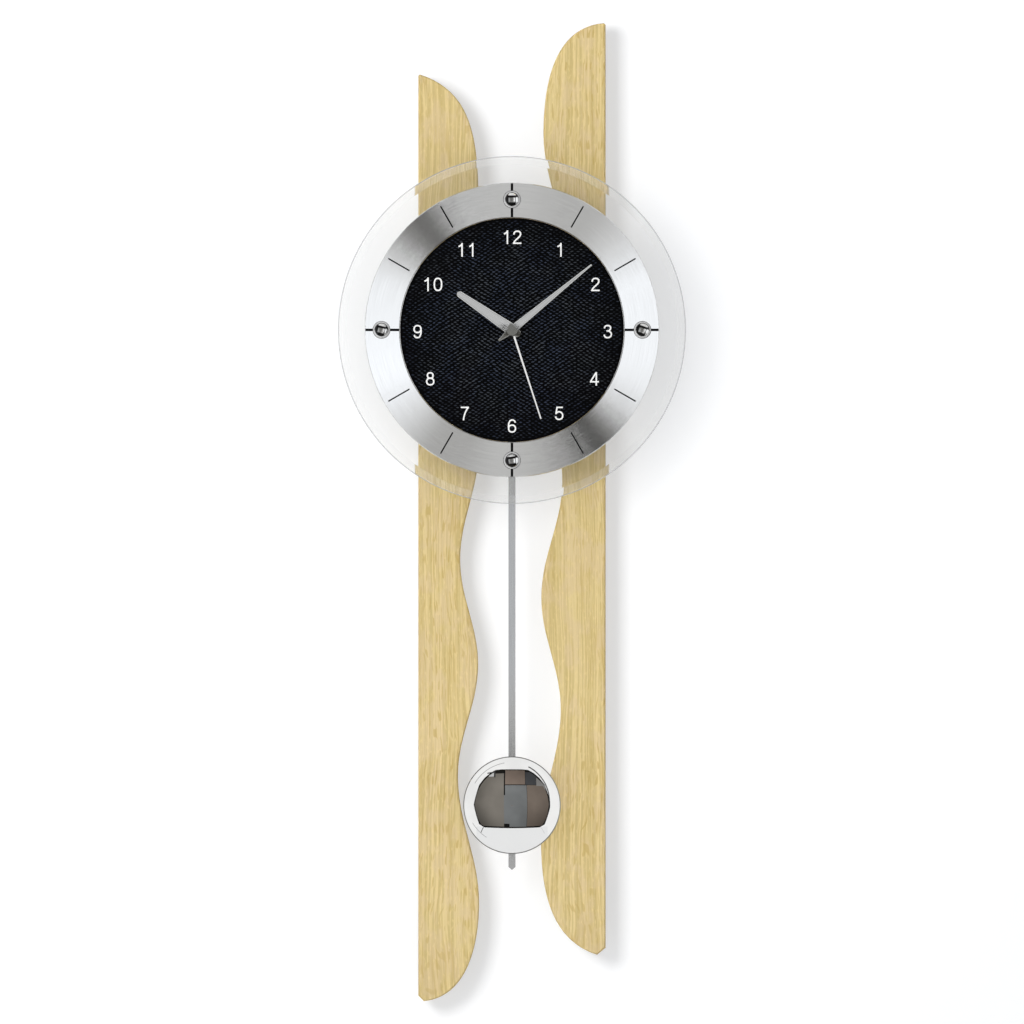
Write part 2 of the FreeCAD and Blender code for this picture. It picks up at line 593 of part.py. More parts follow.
# ---------------------------------------------------------------- wheel train
def motion_work():
    """The cannon, the motion wheel, the hour wheel and the setting knob, all in mesh."""
    axis = V(0, 0, 0)
    z0, z1 = plane(motion_plane)
    hour_z0, hour_z1 = plane(hour_plane)
    cannon_phase = 0.0
    motion_phase = meshed_phase(axis, cannon_teeth, cannon_phase, motion_at, motion_teeth)
    set_phase = meshed_phase(motion_at, motion_teeth, motion_phase, set_at, set_teeth)
    hour_phase = meshed_phase(motion_at, motion_pinion_teeth, motion_phase, axis, hour_teeth)

    centre_z0, centre_z1 = plane(centre_plane)
    shoulder = disc(axis, cannon_r + 0.7, centre_z0 - 0.6, centre_z0 - slide_gap)
    cannon = join(disc(axis, cannon_r, centre_z0 - 0.6, cannon_front), shoulder,
                  wheel(axis, cannon_teeth, motion_module, centre_z1 + slide_gap * 4, z1 + 0.3, cannon_phase))
    save("cannon_pinion", cannon.cut(disc(axis, second_arbor_r + pivot_gap, centre_z0 - 0.6, cannon_front)))

    motion = join(wheel(motion_at, motion_teeth, motion_module, z0, z1, motion_phase),
                  wheel(motion_at, motion_pinion_teeth, hour_module, z1, inner_front - 0.4, motion_phase))
    save("motion_wheel", motion.cut(disc(motion_at, stud_post_r + pivot_gap, z0, inner_front)))

    hour = join(wheel(axis, hour_teeth, hour_module, hour_z0, hour_z1, hour_phase),
                disc(axis, hour_pipe_r, hour_z0, hour_pipe_front))
    save("hour_wheel", hour.cut(disc(axis, cannon_r + pivot_gap, hour_z0, hour_pipe_front)))

    knob_z1 = case_rear - knob_gap
    knob = disc(set_at, knob_r, knob_z1 - knob_t, knob_z1)
    grooves = [clockwise(prism([(set_at.x - 0.5, set_at.y + knob_r + 0.1),
                                (set_at.x, set_at.y + knob_r - 0.6),
                                (set_at.x + 0.5, set_at.y + knob_r + 0.1)], knob_z1 - knob_t, knob_z1),
                         360 / knob_grooves * i, set_at) for i in range(knob_grooves)]
    knob = join(cut(knob, *grooves), disc(set_at, knob_shaft_r, knob_z1, z0 - 0.3),
                wheel(set_at, set_teeth, motion_module, z0 - 0.3, z1 + 0.3, set_phase),
                disc(set_at, pivot_r, z1, inner_front + pivot_depth - end_play))
    save("setting_knob", knob)


def seconds_train():
    """Rotor, fifth wheel, second wheel, third wheel and centre wheel, all in mesh."""
    axis = V(0, 0, 0)
    second_phase = 0.0
    third_phase = meshed_phase(axis, pinion_teeth, second_phase, third_at, third_teeth)
    centre_phase = meshed_phase(third_at, pinion_teeth, third_phase, axis, centre_teeth)
    fifth_phase = meshed_phase(axis, second_teeth, second_phase, fifth_at, pinion_teeth)
    rotor_phase = meshed_phase(fifth_at, fifth_teeth, fifth_phase, rotor_at, pinion_teeth)

    z0, z1 = plane(centre_plane)
    centre = wheel(axis, centre_teeth, centre_module, z0, z1, centre_phase)
    save("centre_wheel", centre.cut(disc(axis, cannon_r + pivot_gap, z0, z1)))

    z0, z1 = plane(third_plane)
    save("third_wheel", join(wheel(third_at, third_teeth, third_module, z0, z1, third_phase),
                             wheel(third_at, pinion_teeth, centre_module, z1, plane(centre_plane)[1] + 0.2,
                                   third_phase),
                             arbor(third_at)))

    z0, z1 = plane(second_plane)
    rear = inner_rear - pivot_depth + end_play
    save("second_wheel", join(wheel(axis, second_teeth, fine_module, z0, z1, second_phase),
                              wheel(axis, pinion_teeth, third_module, z1, plane(third_plane)[1] + 0.6,
                                    second_phase),
                              disc(axis, second_arbor_r, rear, second_z + second_hub_t / 2)))

    z0, z1 = plane(fifth_plane)
    fifth = join(wheel(fifth_at, fifth_teeth, fine_module, z0, z1, fifth_phase),
                 wheel(fifth_at, pinion_teeth, fine_module, z1, plane(second_plane)[1] + 0.3, fifth_phase))
    save("fifth_wheel", fifth.cut(disc(fifth_at, stud_post_r + pivot_gap, z0, plane(second_plane)[1] + 1)))

    magnet_z1 = inner_front - rotor_back
    save("rotor", join(wheel(rotor_at, pinion_teeth, fine_module, z0 - 0.2, z1 + 0.2, rotor_phase),
                       disc(rotor_at, rotor_r, magnet_z1 - rotor_t, magnet_z1), arbor(rotor_at)))


# ---------------------------------------------------------------- hands
def blade(length, hub_w, tip_w, tail, tail_w, z0, thick):
    """A hand at twelve: it tapers from the hub to a round tip, and to a shorter round tail."""
    tip_y, tail_y = length - tip_w / 2, -(tail - tail_w / 2)
    spread = [(-tip_w / 2, tip_y), (-hub_w / 2, 0), (-tail_w / 2, tail_y), (tail_w / 2, tail_y),
              (hub_w / 2, 0), (tip_w / 2, tip_y)]
    return join(prism(spread, z0, z0 + thick), disc(V(0, tip_y, 0), tip_w / 2, z0, z0 + thick),
                disc(V(0, tail_y, 0), tail_w / 2, z0, z0 + thick))


def break_front(shape, front_z):
    """The shape with the edges of its front face chamfered."""
    return shape.makeChamfer(hand_edge_break, [e for e in shape.Edges if e.BoundBox.ZMin > front_z - 1e-6])


def second_hub():
    """The second hand's hub: round towards the needle, drawn to a point behind."""
    outline = second_hub_side + [(-x, y) for x, y in reversed(second_hub_side[:-1])]
    edge = Part.BSplineCurve()
    edge.interpolate([V(x, y, second_z) for x, y in outline])
    return Part.Face(Part.Wire([edge.toShape()])).extrude(V(0, 0, second_hub_t))


def hands():
    axis = V(0, 0, 0)
    hour = blade(hour_hand_l, hour_hub_w, hour_tip_w, hour_tail, hour_tail_w, hour_z, hour_hand_t)
    hour = cut(break_front(hour, hour_z + hour_hand_t),
               disc(axis, hour_pipe_r + slide_gap / 2, hour_z, hour_z + hour_hand_t))
    save("hour_hand", clockwise(hour, hour_turn))
    minute = blade(minute_hand_l, minute_hub_w, minute_tip_w, minute_tail, minute_tail_w, minute_z,
                   minute_hand_t)
    minute = cut(break_front(minute, minute_z + minute_hand_t),
                 disc(axis, cannon_r + slide_gap / 2, minute_z, minute_z + minute_hand_t))
    save("minute_hand", clockwise(minute, minute_turn))
    second = join(blade(second_hand_l, second_w, second_tip_w, second_w, second_w, second_z, second_hand_t),
                  second_hub())
    second = cut(second, disc(axis, second_arbor_r + slide_gap / 2, second_z, second_z + second_hub_t / 2))
    save("second_hand", clockwise(second, second_turn))


# ---------------------------------------------------------------- pendulum
def pendulum():
    pin = V(0, pendulum_y, 0)
    save("pendulum_pin", arbor(pin, pin_r))
    arm_front = arm_back + arm_t
    mid = (arm_back + arm_front) / 2
    arm = join(disc(pin, arm_hub_r, mid - arm_hub_l / 2, mid + arm_hub_l / 2),
               box(-arm_w / 2, arm_w / 2, arm_end_y, pendulum_y, arm_back, arm_front),
               disc(V(0, magnet_y, 0), magnet_r + 1, arm_back, arm_front),
               disc(V(0, peg_y, 0), peg_r, arm_back - peg_l, arm_back),
               disc(V(0, peg_y, 0), peg_lip_r, arm_back - peg_l, arm_back - peg_l + peg_lip_t))
    save("pendulum_arm", arm.cut(disc(pin, pin_r + pivot_gap, mid - arm_hub_l, mid + arm_hub_l)))
    save("pendulum_magnet", disc(V(0, magnet_y, 0), magnet_r, arm_front, arm_front + magnet_t))
    save("drive_coil", tube(V(0, magnet_y, 0), drive_coil_r, drive_coil_bore_r,
                            arm_front + magnet_t + drive_gap, inner_front))

    rod_front = arm_back - rod_behind_arm
    rod_back = rod_front - rod_t
    top_y, half = peg_y + rod_w / 2, rod_w / 2
    strip = prism([(-half, peg_y), (-half, rod_tip_y + rod_point), (0, rod_tip_y),
                   (half, rod_tip_y + rod_point),
                   (half, peg_y)], rod_back, rod_front)
    assert top_y < pendulum_y
    rod = join(strip, disc(V(0, peg_y, 0), half, rod_back, rod_front))
    save("pendulum_rod", rod.cut(disc(V(0, peg_y, 0), peg_r + slide_gap, rod_back, rod_front)))

    plate_back = rod_front + clip_front
    clip = box(-clip_w / 2, clip_w / 2, bob_y - clip_h / 2, bob_y + clip_h / 2, rod_back - clip_wall,
               plate_back)
    channel = box(-half - slide_gap, half + slide_gap, bob_y - clip_h, bob_y + clip_h,
                  rod_back - slide_gap, rod_front + slide_gap)
    save("bob_clip", cut(clip, channel))
    bob_at = V(0, bob_y, 0)
    save("bob_back", disc(bob_at, bob_r - bob_wall - slide_gap, plate_back, plate_back + bob_wall))
    save("bob_shell", dome(bob_at, plate_back))


def dome(at, z0):
    """The bob's domed front: a spherical shell on a short rim."""
    rim_z = z0 + bob_rim
    outer_r = (bob_r ** 2 + bob_rise ** 2) / (2 * bob_rise)
    solid = disc(at, bob_r, z0, rim_z + bob_rise)
    centre = V(at.x, at.y, rim_z + bob_rise - outer_r)
    outer = Part.makeSphere(outer_r, centre)
    inner = Part.makeSphere(outer_r - bob_wall, centre)
    room = disc(at, bob_r - bob_wall, z0, rim_z + bob_rise).common(inner)
    return solid.common(outer).cut(room)


boards()
rails()
standoffs()
glass()
dial()
index_balls()
movement_case()
case_fixings()
power()
motor()
circuit()
motion_work()
seconds_train()
hands()
pendulum()
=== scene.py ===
import json
import math
import random

import bpy
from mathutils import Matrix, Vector

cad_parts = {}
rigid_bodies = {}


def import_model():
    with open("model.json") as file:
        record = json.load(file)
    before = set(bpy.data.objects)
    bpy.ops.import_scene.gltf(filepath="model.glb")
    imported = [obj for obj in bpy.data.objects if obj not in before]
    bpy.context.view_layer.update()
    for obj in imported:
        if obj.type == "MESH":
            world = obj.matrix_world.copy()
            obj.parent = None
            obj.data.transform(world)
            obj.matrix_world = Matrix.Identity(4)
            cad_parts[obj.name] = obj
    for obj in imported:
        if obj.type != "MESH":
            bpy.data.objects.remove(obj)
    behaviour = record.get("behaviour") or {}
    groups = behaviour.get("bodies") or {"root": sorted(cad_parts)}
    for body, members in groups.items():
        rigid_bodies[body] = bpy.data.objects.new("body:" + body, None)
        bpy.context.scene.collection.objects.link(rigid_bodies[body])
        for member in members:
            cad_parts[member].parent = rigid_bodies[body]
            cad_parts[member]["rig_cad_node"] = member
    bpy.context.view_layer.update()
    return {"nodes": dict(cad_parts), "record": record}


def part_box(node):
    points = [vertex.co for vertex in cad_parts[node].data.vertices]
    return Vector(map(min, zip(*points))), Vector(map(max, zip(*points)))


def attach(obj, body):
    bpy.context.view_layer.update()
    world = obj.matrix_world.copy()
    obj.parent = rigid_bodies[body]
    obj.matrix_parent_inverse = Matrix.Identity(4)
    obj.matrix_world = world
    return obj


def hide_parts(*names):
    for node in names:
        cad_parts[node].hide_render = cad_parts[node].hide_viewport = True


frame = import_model()

MM = 0.001

# ---------------------------------------------------------------- places taken from the frame
ring_low, ring_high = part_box("dial_ring")
plate_low, plate_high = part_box("dial_plate")
bob_low, bob_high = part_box("bob_shell")
glass_low, glass_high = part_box("glass_disc")
battery_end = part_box("battery")[1].x
CENTRE = (ring_low + ring_high) / 2
GLASS_R = (glass_high.x - glass_low.x) / 2
PLATE_R = (plate_high.x - plate_low.x) / 2
BOB = (bob_low + bob_high) / 2
BOB_R = (bob_high.x - bob_low.x) / 2

# ---------------------------------------------------------------- sizes of what is added here
HOLE_R = 4.2 * MM  # the dial's hole for the threaded bush
NEEDLE_HUB_R = 5.0 * MM
WIRE_STEP = 0.35 * MM  # from one turn of a coil to the next
CELL_NUB = 1.0 * MM  # the battery's positive nub, past the end of its shell
CELL_BARE = 0.5 * MM  # how much of the shell the sleeve leaves bare there
CELL_COPPER = 13.0 * MM  # how far from that end the sleeve is copper-coloured

TIME_SHOWN = (10, 8, 27)  # the hour, minute and second that the hands show at rest
HOUR_HAND = {"length": 45.0, "hub_w": 8.8, "tip_w": 4.6, "tail": 4.2, "tail_w": 6.0}  # all in mm
MINUTE_HAND = {"length": 72.8, "hub_w": 5.8, "tip_w": 1.4, "tail": 11.7, "tail_w": 1.8}
BALL_REFLECTION_LEAN = {12: 0, 3: -20, 6: 8, 9: -14}  # degrees that each index ball's painted reflection is turned, by hour

NUMERAL_H = 9.8 * MM
NUMERAL_T = 0.12 * MM
NUMERAL_SIT = 0.10 * MM  # a numeral's middle sits this far in front of the plate
NUMERAL_R = 67.3 * MM
NUMERAL_DROP = 1.2 * MM  # the numerals' circle sits this far below the dial's centre
STROKE = 0.053  # half a stroke's width, as a share of a numeral's height
DIGIT_W = 0.66  # a digit's width, as a share of the height
DIGIT_STEP = 0.777  # from one digit to the next, as a share of the height
NUDGE = {1: 0.7, 2: 1.3, 3: 1.0, 4: 0.4, 10: 1.7, 11: 1.3}  # mm to the right, by numeral

GRAIN_W = 2.9 * MM
GRAIN_H = 1.25 * MM
GRAIN_T = 0.24 * MM
GRAIN_SUNK = 0.01 * MM  # a grain's flat back lies this far inside the plate
GRAIN_STEP_X = 4.28 * MM
GRAIN_STEP_Z = 1.43 * MM
GRAIN_STRAY_X = 0.42 * MM  # the most that a grain may lie beside its place
GRAIN_STRAY_Z = 0.12 * MM
GRAIN_SWAY = 0.80 * MM  # the most that a row swings up or down

BOB_RIM = 1.4 * MM  # the bob's straight rim, behind its dome
LIP_R = 0.32 * MM
LIP_INSET = 0.6 * LIP_R  # from the bob's side to the middle of its rolled lip
LIP_DEEP = 1.5  # the lip's depth, as a share of its width

# ---------------------------------------------------------------- sizes of the studio, in metres
WALL_Y = 0.002
FLOOR_Z = -0.75
ROOM = 4.0
CARDS_AWAY = 0.035  # from the bob to the first of the dark cards that its dome mirrors
CARD_STEP = 0.0003  # how much nearer each next dark card is
CARD_GAP = 0.002  # between the streaks, the low card and the white card, which are further away
KEY_PLACE = (-1.15, -2.3, 0.45)
KEY_AIM = (0, 0, -0.2)
KEY_SIZE = 0.95
KEY_ENERGY = 46.0
DIAL_SHADOW = 0.53  # the share of the key light that the dial keeps off the wall
VIEW_HEIGHT = 0.730
VIEW_AWAY = 9.0
VIEW_DROP = 0.1298  # the camera stands this far below the dial's centre


# ---------------------------------------------------------------- shader maths
class Signal:
    """One output socket of a node, which adds Math nodes when it is used in arithmetic."""

    def __init__(self, graph, socket):
        self.graph = graph
        self.socket = socket

    def _math(self, operation, a, b=0.0):
        return self.graph.node("ShaderNodeMath", {"operation": operation}, {0: a, 1: b})

    def __add__(self, other):
        return self._math("ADD", self, other)

    __radd__ = __add__

    def __sub__(self, other):
        return self._math("SUBTRACT", self, other)

    def __rsub__(self, other):
        return self._math("SUBTRACT", other, self)

    def __mul__(self, other):
        return self._math("MULTIPLY", self, other)

    __rmul__ = __mul__

    def __truediv__(self, other):
        return self._math("DIVIDE", self, other)

    def __pow__(self, other):
        return self._math("POWER", self, other)

    def sine(self):
        return self._math("SINE", self)

    def size(self):
        return self._math("ABSOLUTE", self)

    def over(self, low, high):
        """0 below low, 1 above high, and smooth between them."""
        return self.graph.node("ShaderNodeMapRange", {"interpolation_type": "SMOOTHSTEP"},
                               {"Value": self, "From Min": low, "From Max": high})

    def part(self, axis):
        """One number of a vector."""
        return self.graph.node("ShaderNodeSeparateXYZ", {}, {0: self}, axis)


class Graph:
    """The nodes of one material or world."""

    def __init__(self, tree):
        self.tree = tree
        self.tree.nodes.clear()

    def node(self, kind, settings, sockets, output=0):
        """Adds a node: its settings first, then values or links for its sockets. Returns an output."""
        made = self.tree.nodes.new(kind)
        for name, value in settings.items():
            if name == "stops":
                ramp = made.color_ramp.elements
                while len(ramp) < len(value):
                    ramp.new(1.0)
                for stop, (place, colour) in zip(ramp, value):
                    stop.position = place
                    stop.color = (*colour, 1.0)
            else:
                setattr(made, name, value)
        for name, value in sockets.items():
            if isinstance(value, Signal):
                self.tree.links.new(value.socket, made.inputs[name])
            else:
                made.inputs[name].default_value = value
        return Signal(self, made.outputs[output])

    def place(self, scale=(1, 1, 1), shift=(0, 0, 0)):
        """The object's own coordinates in metres: shifted, then scaled."""
        at = self.node("ShaderNodeTexCoord", {}, {}, "Object")
        moved = self.node("ShaderNodeMapping", {"vector_type": "POINT"}, {"Vector": at, "Location": shift})
        return self.node("ShaderNodeMapping", {"vector_type": "POINT"}, {"Vector": moved, "Scale": scale})

    def about(self, centre):
        """Coordinates counted from a centre, and two of them by themselves: to its right, and above it."""
        at = self.place(shift=(-centre.x, 0.0, -centre.z))
        return at, at.part(0), at.part(2)

    def facing(self):
        """1 where the surface faces the viewer's side, and 0 where it stands edge on or faces away."""
        normal = self.node("ShaderNodeTexCoord", {}, {}, "Normal")
        return normal.part(1) * -1.0

    def brushed(self, across, phase, reach, bias=0.0):
        """A normal tilted to and fro along a direction, as fine parallel scratches tilt it.

        The phase goes through many waves, so that a soft noise gives crisp scratches. A bias above 0
        tilts more of them to than fro.
        """
        wave = (phase * 48.0).sine()
        way = self.node("ShaderNodeMath", {"operation": "SIGN"}, {0: wave + bias})
        tilt = way * (wave.size() * 0.35 + 0.65) * reach
        lean = self.node("ShaderNodeVectorMath", {"operation": "SCALE"}, {0: across, "Scale": tilt})
        face = self.node("ShaderNodeNewGeometry", {}, {}, "Normal")
        leaned = self.node("ShaderNodeVectorMath", {"operation": "ADD"}, {0: face, 1: lean})
        return self.node("ShaderNodeVectorMath", {"operation": "NORMALIZE"}, {0: leaned})

    def noise(self, vector, scale=1.0, detail=2.0, rough=0.5):
        return self.node("ShaderNodeTexNoise", {"noise_dimensions": "3D"},
                         {"Vector": vector, "Scale": scale, "Detail": detail, "Roughness": rough}, "Fac")

    def vector(self, x, y, z):
        return self.node("ShaderNodeCombineXYZ", {}, {0: x, 1: y, 2: z})

    def blend(self, share, a, b, way="MIX"):
        """Colour a where share is 0, and b where it is 1."""
        return self.node("ShaderNodeMix", {"data_type": "RGBA", "blend_type": way},
                         {0: share, 6: colour(a), 7: colour(b)}, 2)

    def ramp(self, value, stops):
        return self.node("ShaderNodeValToRGB", {"stops": stops}, {0: value}, "Color")

    def bump(self, height, distance, strength):
        return self.node("ShaderNodeBump", {}, {"Height": height, "Distance": distance, "Strength": strength})

    def surface(self, base, rough, **others):
        """A Principled surface as the material's finish. Other sockets are named with underscores."""
        sockets = {"Base Color": colour(base), "Roughness": rough}
        for name, value in others.items():
            sockets[name.replace("_", " ")] = value
        self.output(self.node("ShaderNodeBsdfPrincipled", {}, sockets))

    def output(self, finish, kind="ShaderNodeOutputMaterial"):
        last = self.tree.nodes.new(kind)
        self.tree.links.new(finish.socket, last.inputs["Surface"])


def colour(value):
    """A colour with its alpha, or a signal as it is."""
    return value if isinstance(value, Signal) else (*value[:3], 1.0)


def from_centre(x, z):
    """How far from the centre a place is that is x to its right and z above it."""
    return (x * x + z * z) ** 0.5


def new_material(name):
    """An empty material, and the graph to build it with."""
    material = bpy.data.materials.new(name)
    material.use_nodes = True
    return material, Graph(material.node_tree)


# ---------------------------------------------------------------- finishes
def birch(name, base, streak, pore_and_edge_shade, rosy, rough):
    """Birch with straight, fine vertical grain, short dark pores and rosy patches, smooth or rough. Its edges
    get painted shade in the pore colour.
    """
    material, g = new_material(name)
    at = g.place()
    x, y, z = at.part(0), at.part(1), at.part(2)
    drift = g.noise(g.vector(x * 9.0, y * 9.0, z * 3.2), detail=2.0) - 0.5
    ripple = g.noise(g.vector(x * 90.0, y * 60.0, z * 34.0), detail=1.0) - 0.5
    across = x + drift * 0.030 + ripple * 0.0016
    broad = g.noise(g.vector(across * 90.0, y * 40.0, z * 3.0), detail=2.0)
    lines = g.noise(g.vector(across * 820.0, y * 300.0, z * 3.6), detail=1.0)
    fine = g.noise(g.vector(across * 1500.0, y * 900.0, z * 34.0), detail=1.0)
    slant = g.noise(g.vector(x * 30.0, y * 20.0, z * 9.0), detail=1.0) - 0.5
    wander = across + ripple * 0.004 + z * slant * 0.05
    pores = g.noise(g.vector(wander * 900.0, y * 500.0, z * 88.0), detail=0.0)
    veins = g.noise(g.vector((across + ripple * 0.0015) * 760.0, y * 300.0, z * 22.0), detail=1.0)
    patches = g.noise(g.vector(x * 14.0, y * 10.0, z * 7.0), detail=2.0)
    flecks = g.noise(g.vector(across * 900.0, y * 300.0, z * 230.0), detail=1.0)
    blush = g.noise(g.vector(x * 95.0, y * 60.0, z * 52.0), detail=3.0)
    dashes = pores.over(0.62, 0.68) * patches.over(0.25, 0.60)
    veined = veins.over(0.60, 0.68) * 0.45
    # Painted shade: 1 on edges and chamfers that turn away from the front.
    edge = 1.0 - g.facing().over(0.90, 0.995)
    tone = g.blend((lines - 0.5) * 4.4 + 0.46 + (fine - 0.5) * 2.0, base, streak)
    tone = g.blend(broad.over(0.30, 0.72) * 0.25, tone, streak)
    tone = g.blend(blush.over(0.44, 0.62) * 0.45, tone, rosy)
    tone = g.blend(flecks.over(0.56, 0.72) * 0.35, tone, [c * 1.12 for c in base])
    tone = g.blend(veined, tone, pore_and_edge_shade)
    tone = g.blend(dashes * 0.70, tone, pore_and_edge_shade)
    # Painted shade darkens the edges and chamfers.
    tone = g.blend(edge * 0.20, tone, pore_and_edge_shade)
    height = lines * 0.45 + fine * 0.35 - dashes * 0.9 - veined * 0.5
    relief = g.bump(height, 0.00012, 0.35)
    g.surface(tone, rough + (fine - 0.5) * 0.18 + dashes * 0.15, Normal=relief,
              Coat_Weight=0.10, Coat_Roughness=0.25)
    return material


def clear_glass():
    """Float glass with a finely ground bevel. It bends what is behind it, and lets lamps shine through."""
    material, g = new_material("float_glass")
    smears = g.noise(g.place(), scale=38.0, detail=3.0)
    body = g.node("ShaderNodeBsdfPrincipled", {},
                  {"Base Color": (0.980, 0.981, 0.976, 1.0), "Transmission Weight": 1.0, "IOR": 1.46,
                   "Roughness": smears.over(0.55, 0.85) * 0.015})
    ground = g.node("ShaderNodeBsdfDiffuse", {}, {"Color": (0.95, 0.95, 0.95, 1.0)})
    facing = g.facing().size()
    bevel = facing.over(0.5, 0.9) * (1.0 - facing.over(0.965, 0.995))
    body = g.node("ShaderNodeMixShader", {}, {0: bevel * 0.11 + 0.018, 1: body, 2: ground})
    arris = g.node("ShaderNodeBsdfDiffuse", {}, {"Color": (0.42, 0.43, 0.43, 1.0)})
    _, x, z = g.about(CENTRE)
    edge = from_centre(x, z).over(GLASS_R - 0.95 * MM, GLASS_R - 0.55 * MM) * 0.42
    body = g.node("ShaderNodeMixShader", {}, {0: edge, 1: body, 2: arris})
    through = g.node("ShaderNodeBsdfTransparent", {}, {"Color": (0.70, 0.705, 0.70, 1.0)})
    shadow = g.node("ShaderNodeLightPath", {}, {}, "Is Shadow Ray")
    bounce = g.node("ShaderNodeLightPath", {}, {}, "Is Diffuse Ray")
    g.output(g.node("ShaderNodeMixShader", {}, {0: shadow + bounce, 1: body, 2: through}))
    return material


def circular_brushed():
    """Aluminium brushed in circles about the dial's centre. Each scratch tilts the surface out or in."""
    material, g = new_material("circular_brushed_aluminium")
    at, x, z = g.about(CENTRE)
    radius = from_centre(x, z)
    turn = g.node("ShaderNodeMath", {"operation": "ARCTAN2"}, {0: z, 1: x})
    scratch = g.noise(g.vector(radius * 18000.0, turn * 3.0, 0.0), detail=1.0)
    band = g.noise(g.vector(radius * 2600.0, turn * 3.0, 3.0), detail=2.0)
    cloud = g.noise(at, scale=46.0, detail=3.0)
    outward = g.vector(x / radius, 0.0, z / radius)
    tone = g.blend((band - 0.5) * 1.5 + 0.5, (0.815, 0.817, 0.813), (0.945, 0.947, 0.945))
    g.surface(tone, 0.17 + (cloud - 0.5) * 0.06, Metallic=1.0,
              Normal=g.brushed(outward, scratch, 0.62, bias=0.6))
    return material


def satin_steel(g, tone, streak, scratch):
    """Brushed steel of that tone. Its scratches tilt it to the left or right."""
    sideways = g.vector(1.0, 0.0, 0.0)
    g.surface(tone, 0.24 + (streak - 0.5) * 0.1, Metallic=1.0, Normal=g.brushed(sideways, scratch, 0.6))


def satin_rod():
    """The pendulum's rod: steel brushed up and down."""
    material, g = new_material("satin_rod")
    at = g.place()
    x, y, z = at.part(0), at.part(1), at.part(2)
    scratch = g.noise(g.vector(x * 16000.0, y * 400.0, z * 60.0), detail=0.0)
    streak = g.noise(g.vector(x * 2400.0, y * 300.0, z * 50.0), detail=2.0)
    tone = g.blend((streak - 0.5) * 1.4 + 0.5, (0.38, 0.38, 0.377), (0.46, 0.46, 0.457))
    satin_steel(g, tone, streak, scratch)
    return material


def satin_blade(name, turn, length, hub_w, tip_w, tail, tail_w):
    """A hand brushed along its length, with a painted highlight on its edges, a painted line of shade inside
    them and its tail painted dark as shade. Its turn is the one at rest.
    """
    material, g = new_material(name)
    _, x, z = g.about(CENTRE)
    right, up = math.sin(math.radians(turn)), math.cos(math.radians(turn))
    along, off = x * right + z * up, x * up - z * right
    scratch = g.noise(g.vector(off * 9000.0, 0.0, along * 60.0), detail=0.0)
    streak = g.noise(g.vector(off * 2400.0, 0.0, along * 50.0), detail=2.0)
    behind = 1.0 - along.over(-1.2 * MM, -0.4 * MM)
    blade_half = along * ((tip_w - hub_w) / 2 / length) + hub_w * MM / 2
    tail_half = along * ((hub_w - tail_w) / 2 / tail) + hub_w * MM / 2
    inside = blade_half + (tail_half - blade_half) * behind - off.size()
    # Painted highlight along the edges, weaker on the tail, and a painted line of shade just inside it.
    rim = 1.0 - inside.over(0.30 * MM, 0.75 * MM)
    seam = inside.over(0.55 * MM, 0.75 * MM) * (1.0 - inside.over(0.95 * MM, 1.30 * MM))
    tone = g.blend((streak - 0.5) * 1.4 + 0.5, (0.41, 0.405, 0.39), (0.54, 0.535, 0.52))
    # Painted shade on the tail, then the painted line of shade, then the painted edge highlight.
    tone = g.blend(behind, tone, (0.105, 0.100, 0.086))
    tone = g.blend(seam * 0.45, tone, (0.22, 0.215, 0.20))
    tone = g.blend(rim * (0.85 - behind * 0.45), tone, (0.80, 0.80, 0.775))
    satin_steel(g, tone, streak, scratch)
    return material


def needle():
    """The second hand: a bright needle with a dark grey hub, its own colour deepened with painted shade."""
    material, g = new_material("bright_needle")
    at, x, z = g.about(CENTRE)
    grain = g.noise(at, scale=1600.0, detail=2.0)
    hub = 1.0 - from_centre(x, z).over(NEEDLE_HUB_R - 0.4 * MM, NEEDLE_HUB_R + 0.4 * MM)
    tone = g.blend(grain, (0.93, 0.93, 0.92), (0.99, 0.99, 0.98))
    # The hub's dark grey is partly its own colour and partly painted shade.
    dull_hub_and_shade = g.blend(grain, (0.11, 0.11, 0.102), (0.18, 0.18, 0.168))
    g.surface(g.blend(hub, tone, dull_hub_and_shade), 0.34 + (grain - 0.5) * 0.1, Metallic=0.30 - hub * 0.20,
              Normal=g.bump(grain, 0.00002, 0.5))
    return material


